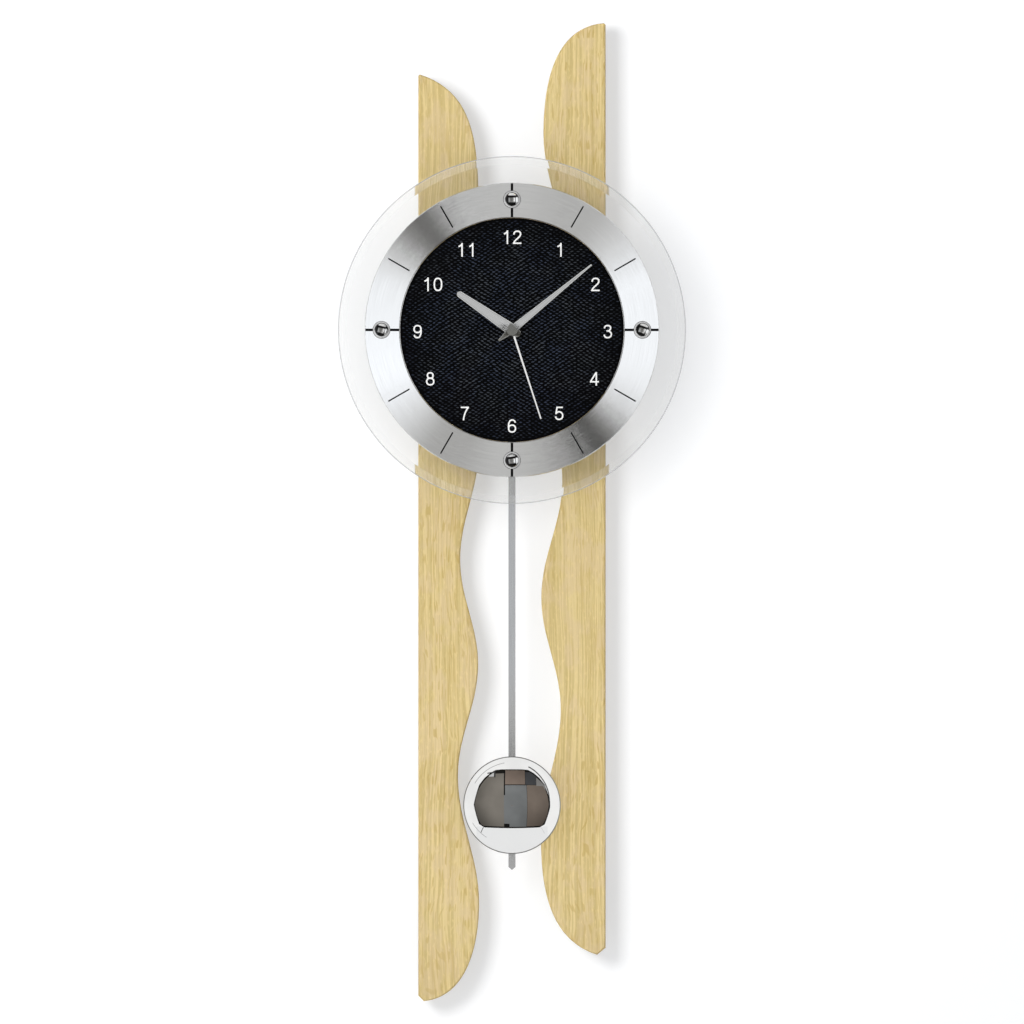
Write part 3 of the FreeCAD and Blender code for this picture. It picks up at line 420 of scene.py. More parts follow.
def smoked_ball(name, lean):
    """An index ball whose mirror look is painted by the way its surface faces: a dark band of painted
    reflection round a grey crown, a painted bright crescent above and right side, and an edge painted light
    below and dark above.
    """
    material, g = new_material(name)
    normal = g.node("ShaderNodeTexCoord", {}, {}, "Normal")
    c, s = math.cos(math.radians(lean)), math.sin(math.radians(lean))
    side = normal.part(0) * c + normal.part(2) * s
    up = normal.part(2) * c - normal.part(0) * s
    reach = from_centre(side, up)
    inside = 1.0 - reach.over(0.86, 0.92)
    haze = g.noise(g.place(), scale=900.0, detail=3.0)
    # Painted reflection: the crown, the dark gap, the bright crescent, the bright right side and the edge are
    # all coloured by the surface's direction.
    middle = side.over(-0.54, -0.42) * (1.0 - up.over(0.16, 0.26)) * up.over(-0.50, -0.38)
    crown = g.blend(side.over(0.06, 0.24), (0.30, 0.30, 0.295), (0.97, 0.97, 0.96))
    crescent = up.over(0.50, 0.58) * inside * (1.0 - side.size().over(0.50, 0.62))
    right = side.over(0.52, 0.60) * inside * (1.0 - up.over(0.22, 0.34))
    gap = side.over(0.40, 0.46) * (1.0 - side.over(0.52, 0.58))
    tone = g.blend(middle, (0.008, 0.008, 0.008), crown)
    tone = g.blend(gap * 0.9, tone, (0.02, 0.02, 0.02))
    tone = g.blend(crescent, tone, (0.97, 0.97, 0.96))
    tone = g.blend(right, tone, (0.95, 0.95, 0.94))
    rim = g.blend(up.over(-0.45, -0.05), (0.80, 0.80, 0.79), (0.010, 0.010, 0.010))
    tone = g.blend(reach.over(0.92, 0.97), tone, rim)
    g.surface(tone, 0.05 + haze * 0.06, Metallic=0.65, Specular_IOR_Level=0.2)
    return material


def edged_collar():
    """The balls' collars: bright polished faces, with shade painted dark round the chamfered edge, where the
    surface turns away from the front.
    """
    material, g = new_material("polished_collar")
    grain = g.noise(g.place(), scale=600.0, detail=3.0)
    tone = g.blend(grain, (0.86, 0.86, 0.87), (0.94, 0.94, 0.945))
    # Painted shade where the collar turns away from the front.
    tone = g.blend(1.0 - g.facing().over(0.78, 0.95), tone, (0.02, 0.02, 0.02))
    g.surface(tone, 0.16 + grain * 0.08, Metallic=0.45, Normal=g.bump(grain, 0.00002, 0.5))
    return material


def polished_chrome():
    """Mirror plating with the faintest haze."""
    material, g = new_material("polished_chrome")
    haze = g.noise(g.place(), scale=90.0, detail=3.0)
    wave = g.noise(g.place(), scale=26.0, detail=1.0)
    tone = g.blend(haze, (0.90, 0.905, 0.91), (0.94, 0.945, 0.95))
    g.surface(tone, 0.025 + haze.over(0.45, 0.8) * 0.03, Metallic=1.0, Normal=g.bump(wave, 0.0002, 0.06))
    return material


def metal(name, light, dark, rough, along=(1.0, 1.0, 1.0), grain=260.0, depth=0.00002):
    """A metal with a fine grain, which a small scale in along draws out that way."""
    material, g = new_material(name)
    streak = g.noise(g.place(scale=along), scale=grain, detail=3.0, rough=0.6)
    cloud = g.noise(g.place(), scale=70.0, detail=2.0)
    tone = g.blend(streak * 0.7 + cloud * 0.3, dark, light)
    g.surface(tone, rough + (streak - 0.5) * 0.14, Metallic=1.0, Normal=g.bump(streak, depth, 0.5))
    return material


def plastic(name, base, rough, grain, depth, speck=1.25, metallic=0.0, specular=0.5):
    """Moulded plastic or rubber with a fine texture."""
    material, g = new_material(name)
    pits = g.noise(g.place(), scale=grain, detail=2.0, rough=0.6)
    cloud = g.noise(g.place(), scale=grain / 40.0, detail=2.0)
    tone = g.blend(pits * 0.5 + cloud * 0.5, [c / speck for c in base], [c * speck for c in base])
    g.surface(tone, rough + (pits - 0.5) * 0.2, Metallic=metallic, Normal=g.bump(pits, depth, 0.6),
              Specular_IOR_Level=specular)
    return material


def winding():
    """Enamelled copper wire, whose turns lie side by side from left to right."""
    material, g = new_material("copper_winding")
    at = g.place()
    turns = (at.part(0) * (math.tau / WIRE_STEP)).sine() * 0.5 + 0.5
    cloud = g.noise(at, scale=300.0, detail=2.0)
    tone = g.blend(turns * 0.6 + cloud * 0.4, (0.30, 0.10, 0.035), (0.78, 0.36, 0.16))
    g.surface(tone, 0.30, Metallic=0.85, Normal=g.bump(turns, 0.00008, 0.8))
    return material


def embossed_film():
    """The dial's black film, with the grains' tops painted lighter as a highlight. The crown attribute rises
    from 0 at a grain's foot to its shade on top.
    """
    material, g = new_material("embossed_black_film")
    crown = g.node("ShaderNodeAttribute", {"attribute_name": "crown"}, {}, "Fac")
    tint = g.noise(g.place(), scale=60.0, detail=2.0)
    grit = g.noise(g.place(), scale=2600.0, detail=2.0)
    # Painted highlight: the grains' tops are coloured lighter than the black between them.
    painted_grain_highlight = g.blend(tint.over(0.35, 0.65), (0.055, 0.062, 0.073), (0.037, 0.047, 0.074))
    tone = g.blend(crown.over(0.15, 0.88) * (0.6 + grit * 0.7), (0.0003, 0.0003, 0.0006), painted_grain_highlight)
    g.surface(tone, 0.66 - crown * 0.10 + (grit - 0.5) * 0.2, Normal=g.bump(grit, 0.00003, 0.5),
              Specular_IOR_Level=0.10)
    return material


def cell_sleeve():
    """A plain two-tone battery sleeve: dark over most of it, copper-coloured near the positive end."""
    material, g = new_material("cell_sleeve")
    x = g.place().part(0)
    end = battery_end - CELL_NUB
    grain = g.noise(g.place(), scale=500.0, detail=2.0)
    copper = x.over(end - CELL_COPPER - 0.2 * MM, end - CELL_COPPER)
    bare = x.over(end - CELL_BARE - 0.1 * MM, end - CELL_BARE)
    tone = g.blend(copper, (0.018, 0.019, 0.022), (0.50, 0.24, 0.09))
    tone = g.blend(bare, tone, (0.70, 0.70, 0.69))
    g.surface(tone, 0.26 + (grain - 0.5) * 0.1, Metallic=copper * 0.8 + bare * 0.2,
              Coat_Weight=0.4, Coat_Roughness=0.1)
    return material


def solder_mask():
    """Green circuit board with tracks under the mask."""
    material, g = new_material("circuit_board_green")
    at = g.place()
    cells = g.node("ShaderNodeTexVoronoi", {"distance": "MANHATTAN"}, {"Vector": at, "Scale": 900.0},
                   "Distance")
    tracks = cells.over(0.28, 0.34)
    tone = g.blend(tracks, (0.012, 0.085, 0.035), (0.03, 0.20, 0.085))
    g.surface(tone, 0.32, Normal=g.bump(tracks, 0.00003, 0.6), Coat_Weight=0.3)
    return material


def make_finishes():
    """The finish of each material slot. The hands and the index balls have finishes of their own."""
    return {
        "birch": birch("varnished_birch", (0.750, 0.600, 0.285), (0.585, 0.440, 0.175),
                       (0.530, 0.360, 0.098), (0.690, 0.530, 0.305), 0.46),
        "rail_wood": birch("raw_birch", (0.66, 0.50, 0.28), (0.55, 0.39, 0.19),
                           (0.40, 0.27, 0.11), (0.62, 0.46, 0.29), 0.72),
        "zinc_steel": metal("zinc_plate", (0.76, 0.77, 0.78), (0.56, 0.57, 0.59), 0.30, grain=420.0),
        "rubber": plastic("bumper_rubber", (0.020, 0.020, 0.021), 0.80, 900.0, 0.00010),
        "standoff_aluminium": metal("turned_aluminium", (0.82, 0.83, 0.84), (0.66, 0.67, 0.68), 0.30,
                                    along=(0.05, 1.0, 0.05), grain=1800.0),
        "bond": plastic("bonding_foam", (0.74, 0.75, 0.74), 0.7, 1500.0, 0.00008, speck=1.06),
        "glass": clear_glass(),
        "dial_black": embossed_film(),
        "ring_aluminium": circular_brushed(),
        "mark_black": plastic("mark_enamel", (0.003, 0.003, 0.0035), 0.50, 1200.0, 0.00002, specular=0.08),
        "chrome": polished_chrome(),
        # Painted shade: the lip's metal is toned dark, to draw a dark outline round the bob's dome.
        "lip_painted_shade": metal("lip_painted_shade", (0.46, 0.46, 0.46), (0.26, 0.26, 0.26), 0.30, grain=900.0),
        "collar_aluminium": edged_collar(),
        "case_plastic": plastic("moulded_black", (0.022, 0.022, 0.024), 0.55, 1700.0, 0.00008),
        "brass": metal("machined_brass", (0.82, 0.64, 0.30), (0.66, 0.48, 0.20), 0.28, grain=700.0),
        "black_metal": plastic("black_oxide", (0.018, 0.018, 0.020), 0.38, 900.0, 0.00003, metallic=0.6),
        "gear_plastic": plastic("natural_acetal", (0.78, 0.765, 0.70), 0.36, 700.0, 0.00003, speck=1.05),
        "copper": winding(),
        "circuit_green": solder_mask(),
        "crystal_steel": metal("crystal_can", (0.80, 0.79, 0.76), (0.66, 0.65, 0.62), 0.24),
        "battery_wrap": cell_sleeve(),
        "magnet": metal("nickel_plate", (0.60, 0.60, 0.59), (0.42, 0.42, 0.42), 0.26, grain=500.0),
        "rod_steel": satin_rod(),
        "numeral_white": plastic("numeral_ink", (0.86, 0.86, 0.845), 0.5, 1500.0, 0.00001, speck=1.03),
    }


def dress(finishes):
    """Gives each CAD node the finish of its material slot, or its own where its look differs."""
    slots = {part["node"]: part["material_slot"] for part in frame["record"]["subparts"]}
    hour, minute, second = TIME_SHOWN
    own = {"second_hand": needle(),
           "hour_hand": satin_blade("satin_hour_hand", hour * 30 + minute / 2 + second / 120, **HOUR_HAND),
           "minute_hand": satin_blade("satin_minute_hand", minute * 6 + second / 10, **MINUTE_HAND)}
    for place, lean in BALL_REFLECTION_LEAN.items():
        own[f"index_ball_{place}"] = smoked_ball(f"painted_reflection_chrome_{place}", lean)
    for name, node in frame["nodes"].items():
        node.data.materials.clear()
        node.data.materials.append(own[name] if name in own else finishes[slots[name]])


# ---------------------------------------------------------------- modelling helpers
def deselect():
    """Leaves edit mode, with nothing selected."""
    if bpy.context.object and bpy.context.object.mode != "OBJECT":
        bpy.ops.object.mode_set(mode="OBJECT")
    bpy.ops.object.select_all(action="DESELECT")


def take(obj):
    """Makes obj the only selected and the active object."""
    deselect()
    obj.select_set(True)
    bpy.context.view_layer.objects.active = obj
    return obj


def settle(obj):
    """Moves the object's place, turn and scale into its mesh."""
    take(obj)
    bpy.ops.object.transform_apply(location=True, rotation=True, scale=True)
    return obj


def finished(obj, name, material, body):
    """Names a piece, and gives it its finish and the body that it rides on."""
    obj.name = name
    obj.data.name = name
    obj.data.materials.clear()
    obj.data.materials.append(material)
    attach(obj, body)
    return obj


# ---------------------------------------------------------------- dial
def loop(x, y, rx, ry, square=2.2):
    """A closed stroke: an ellipse, a little squared."""
    points = []
    steps = 16
    for step in range(steps):
        turn = math.tau * step / steps
        c, s = math.cos(turn), math.sin(turn)
        points.append((x + rx * math.copysign(abs(c) ** (2 / square), c),
                       y + ry * math.copysign(abs(s) ** (2 / square), s)))
    return points


# Centre lines of plain upright digits, as shares of their height. A closed stroke is marked True.
SIX = [(loop(0.335, 0.315, 0.248, 0.250), True),
       ([(0.087, 0.33), (0.080, 0.52), (0.118, 0.74), (0.205, 0.885), (0.335, 0.936), (0.45, 0.915),
         (0.535, 0.84), (0.566, 0.745)], False)]
DIGITS = {
    "0": [(loop(0.33, 0.5, 0.262, 0.436, 2.5), True)],
    "1": [([(0.385, 0.0), (0.385, 1.0)], False),
          ([(0.395, 0.93), (0.32, 0.845), (0.225, 0.775), (0.130, 0.735)], False)],
    "2": [([(0.078, 0.690), (0.105, 0.815), (0.190, 0.905), (0.325, 0.938), (0.465, 0.908), (0.555, 0.815),
            (0.562, 0.690), (0.490, 0.555), (0.350, 0.415), (0.205, 0.280), (0.112, 0.165),
            (0.078, 0.066)], False),
          ([(0.006, 0.062), (0.625, 0.062)], False)],
    "3": [([(0.085, 0.735), (0.120, 0.850), (0.205, 0.920), (0.320, 0.938), (0.440, 0.910), (0.520, 0.835),
            (0.528, 0.720), (0.465, 0.610), (0.360, 0.560), (0.235, 0.545)], False),
          ([(0.255, 0.548), (0.400, 0.535), (0.525, 0.455), (0.585, 0.315), (0.550, 0.175), (0.445, 0.088),
            (0.310, 0.062), (0.185, 0.092), (0.100, 0.170), (0.066, 0.280)], False)],
    "4": [([(0.475, 0.0), (0.475, 0.985)], False), ([(0.010, 0.285), (0.660, 0.285)], False),
          ([(0.058, 0.300), (0.458, 0.950)], False)],
    "5": [([(0.590, 0.935), (0.150, 0.935)], False), ([(0.182, 0.985), (0.095, 0.440)], False),
          ([(0.090, 0.470), (0.185, 0.575), (0.315, 0.615), (0.455, 0.575), (0.560, 0.460), (0.585, 0.315),
            (0.535, 0.165), (0.425, 0.083), (0.300, 0.062), (0.180, 0.092), (0.100, 0.170),
            (0.066, 0.275)], False)],
    "6": SIX,
    "7": [([(0.040, 0.935), (0.622, 0.935)], False),
          ([(0.600, 0.945), (0.490, 0.800), (0.375, 0.575), (0.290, 0.330), (0.245, 0.120),
            (0.236, 0.0)], False)],
    "8": [(loop(0.330, 0.742, 0.205, 0.196), True), (loop(0.330, 0.303, 0.255, 0.240), True)],
    "9": [([(DIGIT_W - x, 1 - y) for x, y in points], closed) for points, closed in SIX],
}


def make_numeral(hour, finishes):
    """One upright numeral, with strokes of even width, standing just proud of the film."""
    angle = math.radians(90 - 30 * hour)
    data = bpy.data.curves.new("numeral", "CURVE")
    data.dimensions = "3D"
    data.bevel_depth = STROKE * NUMERAL_H
    data.bevel_resolution = 2
    data.resolution_u = 4
    data.use_fill_caps = True
    for place, digit in enumerate(str(hour)):
        for points, closed in DIGITS[digit]:
            stroke = data.splines.new("BEZIER")
            stroke.bezier_points.add(len(points) - 1)
            stroke.use_cyclic_u = closed
            for knot, (x, y) in zip(stroke.bezier_points, points):
                knot.co = ((x + place * DIGIT_STEP) * NUMERAL_H, y * NUMERAL_H, 0)
                knot.handle_left_type = knot.handle_right_type = "AUTO"
    curve = bpy.data.objects.new("numeral", data)
    bpy.context.scene.collection.objects.link(curve)
    take(curve)
    bpy.ops.object.convert(target="MESH")
    numeral = bpy.context.object
    width = (DIGIT_W + (len(str(hour)) - 1) * DIGIT_STEP) * NUMERAL_H
    numeral.scale = (1, 1, NUMERAL_T / (2 * STROKE * NUMERAL_H))
    numeral.rotation_euler = (math.radians(90), 0, 0)
    numeral.location = (CENTRE.x + NUMERAL_R * math.cos(angle) - width / 2 + NUDGE.get(hour, 0) * MM,
                        plate_low.y - NUMERAL_SIT,
                        CENTRE.z - NUMERAL_DROP + NUMERAL_R * math.sin(angle) - NUMERAL_H / 2)
    settle(numeral)
    bpy.ops.object.shade_smooth_by_angle(angle=math.radians(50))
    return finished(numeral, f"numeral_{hour}", finishes["numeral_white"], "clock")


def make_grain():
    """One grain of the film: half a lens with narrowed ends, lying in the dial's plane."""
    deselect()
    bpy.ops.mesh.primitive_uv_sphere_add(segments=8, ring_count=6, radius=0.5)
    grain = bpy.context.object
    bpy.ops.object.mode_set(mode="EDIT")
    bpy.ops.mesh.select_all(action="SELECT")
    bpy.ops.mesh.bisect(plane_co=(0, 0, 0), plane_no=(0, 0, 1), use_fill=True, clear_inner=True)
    bpy.ops.object.mode_set(mode="OBJECT")
    crown = grain.data.attributes.new("crown", "FLOAT", "POINT")
    for vertex, value in zip(grain.data.vertices, crown.data):
        value.value = 2 * vertex.co.z
        vertex.co.y *= 1 - 0.45 * (2 * vertex.co.x) ** 2
    grain.scale = (GRAIN_W, GRAIN_H, GRAIN_T)
    grain.rotation_euler = (math.radians(90), 0, 0)
    return settle(grain)


def scatter_grain(grain, grain_points, columns, rows):
    """Sways the rows, and shifts, turns, sizes and shades each grain. Drops those past either edge."""
    rng = random.Random(7)
    take(grain)
    bpy.ops.object.mode_set(mode="EDIT")
    bpy.ops.mesh.select_mode(type="VERT")
    bpy.ops.mesh.select_all(action="DESELECT")
    bpy.ops.object.mode_set(mode="OBJECT")
    vertices = grain.data.vertices
    crown = grain.data.attributes["crown"].data
    for copy in range(columns * rows):
        row, column = divmod(copy, columns)
        home_x, home_z = column * GRAIN_STEP_X, row * GRAIN_STEP_Z
        x = home_x + (row % 2 - columns) / 2 * GRAIN_STEP_X
        z = home_z - (rows - 1) / 2 * GRAIN_STEP_Z
        # Two waves that cross each other, together between -1 and 1.
        sway = 0.5 * math.sin(x * 95 + z * 40) + 0.5 * math.sin(x * 233 - z * 171 + 2.0)
        x += rng.uniform(-GRAIN_STRAY_X, GRAIN_STRAY_X)
        z += rng.uniform(-GRAIN_STRAY_Z, GRAIN_STRAY_Z) + sway * GRAIN_SWAY
        reach = math.hypot(x, z)
        stray = reach > PLATE_R - GRAIN_W / 2 or reach < HOLE_R + GRAIN_W
        tilt = 0.25 * sway + rng.uniform(-0.20, 0.20)
        wide, tall, deep = rng.uniform(0.80, 1.25), rng.uniform(0.80, 1.10), rng.uniform(0.7, 1.1)
        shade = rng.uniform(0.58, 1.0) * (1.0 - 0.45 * (reach / PLATE_R) ** 3)
        for index in range(copy * grain_points, (copy + 1) * grain_points):
            point = vertices[index].co
            u, v = (point.x - home_x) * wide, (point.z - home_z) * tall
            vertices[index].co = (CENTRE.x + x + u * math.cos(tilt) - v * math.sin(tilt),
                                  plate_low.y + GRAIN_SUNK + point.y * deep,
                                  CENTRE.z + z + u * math.sin(tilt) + v * math.cos(tilt))
            vertices[index].select = stray
            crown[index].value *= shade
    bpy.ops.object.mode_set(mode="EDIT")
    bpy.ops.mesh.delete(type="VERT")
    bpy.ops.object.mode_set(mode="OBJECT")


def make_dial_film(finishes):
    """The dial plate with its embossed film: staggered rows of small lens-shaped grains."""
    grain = make_grain()
    grain_points = len(grain.data.vertices)
    columns = 2 * int(PLATE_R / GRAIN_STEP_X) + 2
    rows = 2 * int(PLATE_R / GRAIN_STEP_Z) + 1
    for count, step in ((columns, (GRAIN_STEP_X, 0, 0)), (rows, (0, 0, GRAIN_STEP_Z))):
        array = grain.modifiers.new("grid", "ARRAY")
        array.count = count
        array.use_relative_offset = False
        array.use_constant_offset = True
        array.constant_offset_displace = step
        bpy.ops.object.modifier_apply(modifier=array.name)
    scatter_grain(grain, grain_points, columns, rows)
    bpy.ops.object.shade_smooth()
    take(frame["nodes"]["dial_plate"])
    bpy.ops.object.duplicate()
    plate = bpy.context.object
    plate.parent = None
    bpy.ops.object.mode_set(mode="EDIT")
    bpy.ops.mesh.select_all(action="SELECT")
    bpy.ops.mesh.remove_doubles(threshold=1e-6)
    bpy.ops.object.mode_set(mode="OBJECT")
    plate.data.attributes.new("crown", "FLOAT", "POINT")
    grain.select_set(True)
    bpy.ops.object.join()
    film = finished(plate, "dial_film", finishes["dial_black"], "clock")
    del film["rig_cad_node"]  # the copy is a piece, and no longer stands for the CAD node
    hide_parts("dial_plate")
    return film


# ---------------------------------------------------------------- pendulum bob
def make_bob_lip(finishes):
    """The rolled lip where the bob's dome meets its rim, in dark metal that draws a painted shade outline
    round the dome.
    """
    deselect()
    bpy.ops.mesh.primitive_torus_add(major_segments=96, minor_segments=10,
                                     major_radius=BOB_R - LIP_INSET, minor_radius=LIP_R)
    lip = bpy.context.object
    lip.scale = (1, 1, LIP_DEEP)
    lip.rotation_euler = (math.radians(90), 0, 0)
    lip.location = (BOB.x, bob_high.y - BOB_RIM, BOB.z)
    settle(lip)
    bpy.ops.object.shade_smooth()
    return finished(lip, "bob_lip", finishes["lip_painted_shade"], "pendulum")


# ---------------------------------------------------------------- studio
def card_glow(g, glow, uneven, fade):
    """A card's own light: even or mottled. Fade: how much it falls off, away from the bob's middle."""
    mottle = g.noise(g.place(), scale=14.0, detail=3.0)
    shade = g.blend(mottle.over(0.38, 0.70) * uneven, glow, [c * 0.45 for c in glow])
    if fade:
        _, x, z = g.about(BOB)
        fall = from_centre(x, z).over(0.026, 0.064) * 0.55 + (1.0 - z.over(-0.040, 0.012)) * 0.45
        shade = g.blend(fall * fade, shade, [c * 0.22 for c in glow])
    return g.node("ShaderNodeEmission", {}, {"Color": shade, "Strength": 1.0})


def stage_plane(name, corners, tone, glow=None, one_sided=False, uneven=0.0, fade=0.0):
    """A flat card, wall or floor of the studio: matt with a tone, lit with a glow, or both.

    A one-sided one is clear when it is seen from behind.
    """
    mesh = bpy.data.meshes.new(name)
    mesh.from_pydata(corners, [], [tuple(range(len(corners)))])
    card = bpy.data.objects.new(name, mesh)
    bpy.context.scene.collection.objects.link(card)
    material, g = new_material(name)
    if tone is not None:
        finish = g.node("ShaderNodeBsdfDiffuse", {}, {"Color": (*tone, 1.0)})
    if glow is not None:
        lit = card_glow(g, glow, uneven, fade)
        finish = lit if tone is None else g.node("ShaderNodeAddShader", {}, {0: lit, 1: finish})
    if one_sided:
        clear = g.node("ShaderNodeBsdfTransparent", {}, {})
        behind = g.node("ShaderNodeNewGeometry", {}, {}, "Backfacing")
        finish = g.node("ShaderNodeMixShader", {}, {0: behind, 1: finish, 2: clear})
    g.output(finish)
    mesh.materials.append(material)
    return card


def upright(y, x0, x1, z0, z1):
    """Corners of an upright rectangle that faces the viewer."""
    return [(x0, y, z0), (x1, y, z0), (x1, y, z1), (x0, y, z1)]


def make_room():
    """A white wall that glows a little, so that shadows on it stay light, and a pale floor."""
    wall = stage_plane("studio_wall", upright(WALL_Y, -ROOM, ROOM, FLOOR_Z, ROOM), (0.57, 0.57, 0.57),
                       glow=(0.455, 0.462, 0.475), one_sided=True)
    wall.visible_diffuse = False
    wall.visible_glossy = False
    wall.visible_shadow = False
    corners = [(-ROOM, -1.5 * ROOM), (ROOM, -1.5 * ROOM), (ROOM, ROOM), (-ROOM, ROOM)]
    floor = stage_plane("studio_floor", [(x, y, FLOOR_Z) for x, y in corners], (0.80, 0.80, 0.79))
    floor.visible_glossy = False


def bob_outline(x0, x1, z0, z1, outer):
    """Corners of a block that the bob shows, in mm: a rectangle cut by the circle of radius outer."""
    steps = 14
    low, high = [], []
    for step in range(steps + 1):
        x = x0 + (x1 - x0) * step / steps
        reach = math.sqrt(max(0.0, outer ** 2 - x ** 2))
        low.append((x, max(z0, -reach)))
        high.append((x, min(z1, reach)))
    return low + high[::-1]


def streak_outline(r0, a0, r1, a1, thick):
    """Corners of a thin curved streak from (r0, a0) to (r1, a1), in mm and degrees about the bob."""
    steps, skew = 12, 0.012
    shares = [step / steps for step in range(steps + 1)]
    along = [(r0 + (r1 - r0) * share, math.radians(a0 + (a1 - a0) * share)) for share in shares]
    rim = [(r * math.cos(turn), r * math.sin(turn)) for r, turn in along]
    inner = [((r - thick) * math.cos(turn + skew), (r - thick) * math.sin(turn + skew)) for r, turn in along]
    return rim + inner[::-1]


def mirrored_at(x, z, away):
    """Where a card that far in front of the bob must hold something that the bob shows at (x, z)."""
    reach = max(math.hypot(x, z), 1e-6)
    rise = bob_high.y - bob_low.y - BOB_RIM
    ball_r = (BOB_R ** 2 + rise ** 2) / (2 * rise)
    spread = 1 + away * math.tan(2 * math.asin(min(0.99, reach / ball_r))) / reach
    return BOB.x + x * spread, bob_low.y - away, BOB.z + z * spread


def glossy_only(card):
    """Hides a card from all but reflections."""
    card.visible_camera = False
    card.visible_diffuse = False
    card.visible_transmission = False
    card.visible_shadow = False


def make_bob_cards():
    """The dark and white things in front of the bob that its dome mirrors. Only reflections show them."""
    # A block's left, right, bottom and top on the bob, the radius that cuts it, all in mm, and its tone.
    blocks = [("outline", -29.0, 28.9, -17.2, 26.6, 29.0, (0.022, 0.020, 0.018)),
              ("left", -28.2, -5.4, -16.0, 23.4, 27.7, (0.250, 0.228, 0.198)),
              ("middle_top", -5.2, 9.6, 14.9, 25.9, 27.9, (0.270, 0.210, 0.172)),
              ("middle", -5.6, 10.6, -16.2, 14.3, 27.9, (0.230, 0.238, 0.238)),
              ("right_top", 9.9, 18.0, 14.8, 24.5, 27.9, (0.090, 0.092, 0.096)),
              ("right", 10.8, 27.9, -16.0, 14.5, 27.7, (0.240, 0.195, 0.160)),
              ("right_corner", 18.2, 25.4, 14.0, 24.0, 27.5, (0.330, 0.320, 0.305)),
              ("left_gap", -5.9, -5.0, 7.0, 25.4, 27.9, (0.010, 0.010, 0.010)),
              ("gap_foot", -5.8, -1.8, -16.4, -13.8, 27.9, (0.012, 0.012, 0.012)),
              ("fold_light", -17.5, -12.5, 21.2, 25.5, 27.9, (0.80, 0.80, 0.79)),
              ("fold_dark", -13.6, -12.4, 20.5, 25.5, 28.6, (0.06, 0.06, 0.06))]
    for order, (name, x0, x1, z0, z1, outer, tone) in enumerate(blocks):
        away = CARDS_AWAY - CARD_STEP * order
        corners = [mirrored_at(x * MM, z * MM, away) for x, z in bob_outline(x0, x1, z0, z1, outer)]
        glossy_only(stage_plane("bob_card_" + name, corners, None, glow=tone, uneven=0.6, fade=0.9))

    white_r, sides = 36.5 * MM, 48
    turns = [math.tau * step / sides for step in range(sides)]
    away = CARDS_AWAY + 3 * CARD_GAP
    white = [mirrored_at(white_r * math.cos(turn), white_r * math.sin(turn), away) for turn in turns]
    glossy_only(stage_plane("bob_card_white", white, None, glow=(0.93, 0.925, 0.91), uneven=0.16))
    away = CARDS_AWAY + 2 * CARD_GAP
    low = [mirrored_at(x * MM, z * MM, away) for x, z in bob_outline(-27, 27, -36, -16.6, 36.4)]
    glossy_only(stage_plane("bob_card_soft_box", low, None, glow=(0.85, 0.85, 0.845)))

    # The radius in mm and the angle of a streak's two ends, its thickness in mm, and its grey.
    streaks = [("upper_left", 32.4, 100, 32.9, 150, 0.45, 0.36),
               ("right", 31.8, 66, 28.9, 6, 0.85, 0.07),
               ("lower_left", 33.4, 205, 31.8, 232, 0.45, 0.36),
               ("low_edge_left", 26.6, 217, 32.2, 222, 0.70, 0.16),
               ("low_edge_right", 27.0, 322, 33.5, 318, 0.45, 0.50),
               ("crease", 30.6, 128, 28.2, 119, 0.80, 0.05)]
    away = CARDS_AWAY + CARD_GAP
    for name, *shape, grey in streaks:
        corners = [mirrored_at(x * MM, z * MM, away) for x, z in streak_outline(*shape)]
        glossy_only(stage_plane("bob_streak_" + name, corners, None, glow=(grey, grey, grey * 0.98)))


def panel_tone(level):
    """A panel's colour: warm where it is dim, and cool where it is bright."""
    return level * (1.03 - 0.06 * level), level, level * (0.945 + 0.10 * level)


def make_world():
    """Soft light all round. Mirrors see a dark room straight ahead, and bright or dim panels round it."""
    world = bpy.data.worlds.new("studio")
    bpy.context.scene.world = world
    world.use_nodes = True
    g = Graph(world.node_tree)
    way = g.node("ShaderNodeTexCoord", {}, {}, "Generated")
    x, y, z = way.part(0), way.part(1), way.part(2)
    turn = g.node("ShaderNodeMath", {"operation": "ARCTAN2"}, {0: z, 1: x}) / math.tau
    full_turn = g.node("ShaderNodeMath", {"operation": "FRACT"}, {0: turn + 1.0})
    # How bright the panels are, by their angle round the dial's axis, clockwise in degrees from the top.
    levels = {7: 0.46, 22: 0.45, 37: 0.43, 52: 0.56, 67: 0.83, 82: 0.85, 97: 0.90, 112: 0.86, 127: 0.72,
              135: 0.22, 142: 0.00, 149: 0.03, 157: 0.17, 172: 0.41, 187: 0.47, 202: 0.30, 217: 0.32,
              232: 0.74, 247: 1.00, 262: 0.97, 277: 0.86, 292: 0.83, 300: 0.56, 307: 0.29, 315: 0.11,
              322: 0.10, 330: 0.46, 337: 0.58, 352: 0.48}
    seam = 0.86  # the level at 90 degrees, where the ramp starts and ends
    stops = [((90 - angle) % 360 / 360, level) for angle, level in levels.items()]
    stops = sorted([(0.0, seam), (1.0, seam)] + stops)
    fan = g.ramp(full_turn, [(place, panel_tone(level)) for place, level in stops])
    ahead = (1.0 - from_centre(x, z).over(0.56, 0.64)) * (y * -1.0).over(-0.05, 0.05)
    panels = g.blend(1.0, fan, (1.20, 1.20, 1.20), "MULTIPLY")
    mirrored = g.blend(ahead, panels, (0.13, 0.125, 0.115))  # the dark room is a little warm
    glossy = g.node("ShaderNodeLightPath", {}, {}, "Is Glossy Ray")
    lit = g.blend(glossy, (0.475, 0.480, 0.492), mirrored)
    sky = g.node("ShaderNodeBackground", {}, {"Color": lit, "Strength": 1.0})
    g.output(sky, "ShaderNodeOutputWorld")


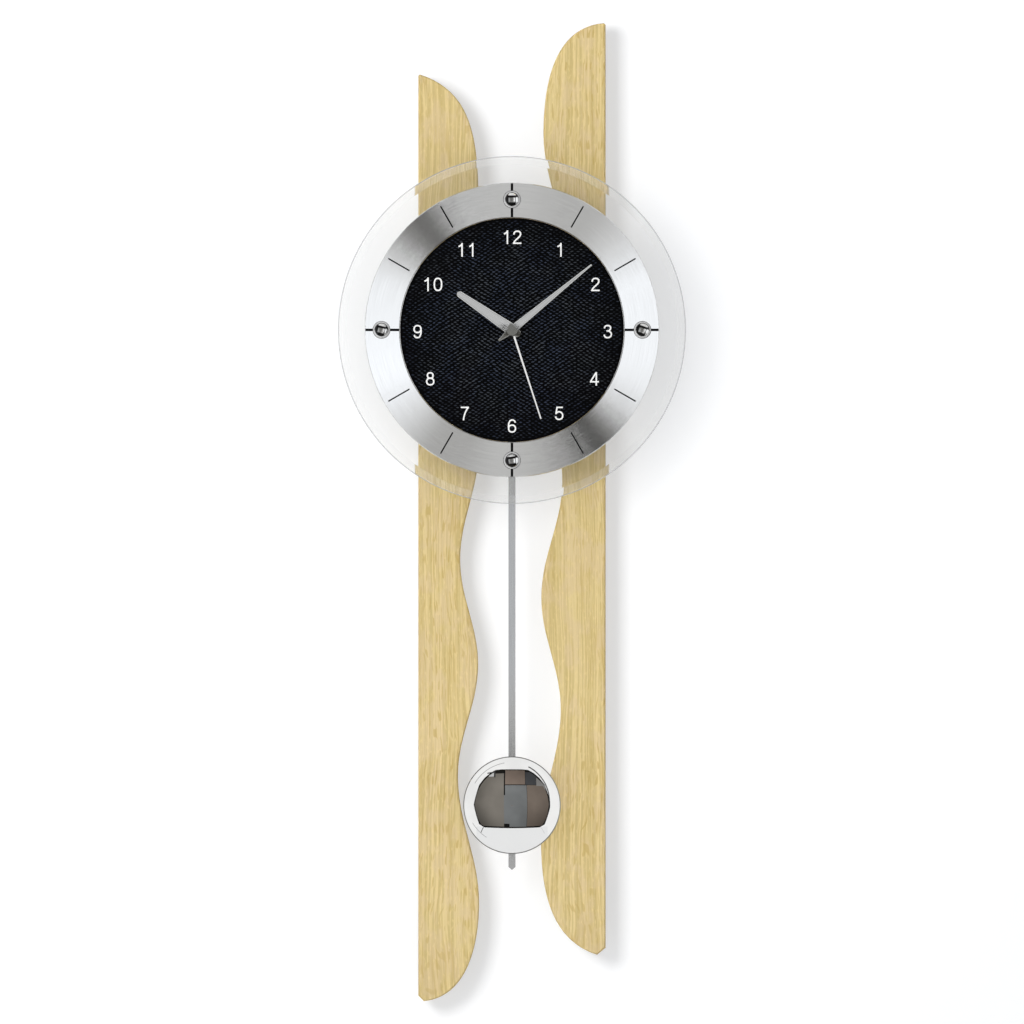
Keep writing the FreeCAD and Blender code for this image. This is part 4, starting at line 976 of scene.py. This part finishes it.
def linked(name, nodes, link):
    """A collection that takes these nodes in (INCLUDE), or all but these (EXCLUDE), for a light."""
    group = bpy.data.collections.new(name)
    for node in nodes:
        group.objects.link(node)
    for entry in group.collection_objects:
        entry.light_linking.link_state = link
    return group


def make_key_light(name, energy, blockers, receivers=None):
    """A soft box high on the left. Only its blockers throw shadows, and it lights only its receivers."""
    deselect()
    bpy.ops.object.light_add(type="AREA", location=KEY_PLACE)
    key = bpy.context.object
    key.name = name
    key.data.shape = "SQUARE"
    key.data.size = KEY_SIZE
    key.data.energy = energy
    key.rotation_euler = (Vector(KEY_AIM) - key.location).to_track_quat("-Z", "Y").to_euler()
    key.visible_glossy = False
    key.visible_transmission = False
    key.light_linking.blocker_collection = blockers
    if receivers is not None:
        key.light_linking.receiver_collection = receivers


def make_key_lights(lip):
    """Three soft boxes at one place. The dial throws half a shadow on the wall, and none on the boards."""
    nodes = frame["nodes"]
    wood = [nodes[name] for name in ("left_board", "right_board", "upper_rail", "lower_rail")]
    bob = [nodes["bob_shell"], nodes["bob_back"], lip]
    wood_only = linked("wood_only", wood, "INCLUDE")
    make_key_light("key_softbox", KEY_ENERGY * DIAL_SHADOW, linked("all_but_bob", bob, "EXCLUDE"),
                   linked("all_but_wood", wood, "EXCLUDE"))
    make_key_light("key_softbox_fill", KEY_ENERGY * (1 - DIAL_SHADOW), wood_only)
    make_key_light("key_softbox_wood", KEY_ENERGY * DIAL_SHADOW, wood_only, wood_only)


def keep_index_out_of_reflections():
    """The ring would mirror the index balls, collars and nuts as smudges."""
    for name, node in frame["nodes"].items():
        if name.startswith("index_"):
            node.visible_glossy = False


def make_camera():
    """Straight on, from far away, so that the boards' sides stay hidden."""
    data = bpy.data.cameras.new("camera")
    camera = bpy.data.objects.new("camera", data)
    bpy.context.scene.collection.objects.link(camera)
    data.lens = data.sensor_width * VIEW_AWAY / VIEW_HEIGHT
    camera.location = (CENTRE.x, plate_low.y - VIEW_AWAY, CENTRE.z - VIEW_DROP)
    camera.rotation_euler = (math.radians(90), 0, 0)
    data.clip_end = 50.0
    bpy.context.scene.camera = camera


finishes = make_finishes()
dress(finishes)
for hour in range(1, 13):
    make_numeral(hour, finishes)
make_dial_film(finishes)
lip = make_bob_lip(finishes)
make_room()
make_bob_cards()
make_world()
keep_index_out_of_reflections()
make_key_lights(lip)
make_camera()
bpy.context.scene.view_settings.view_transform = "Standard"
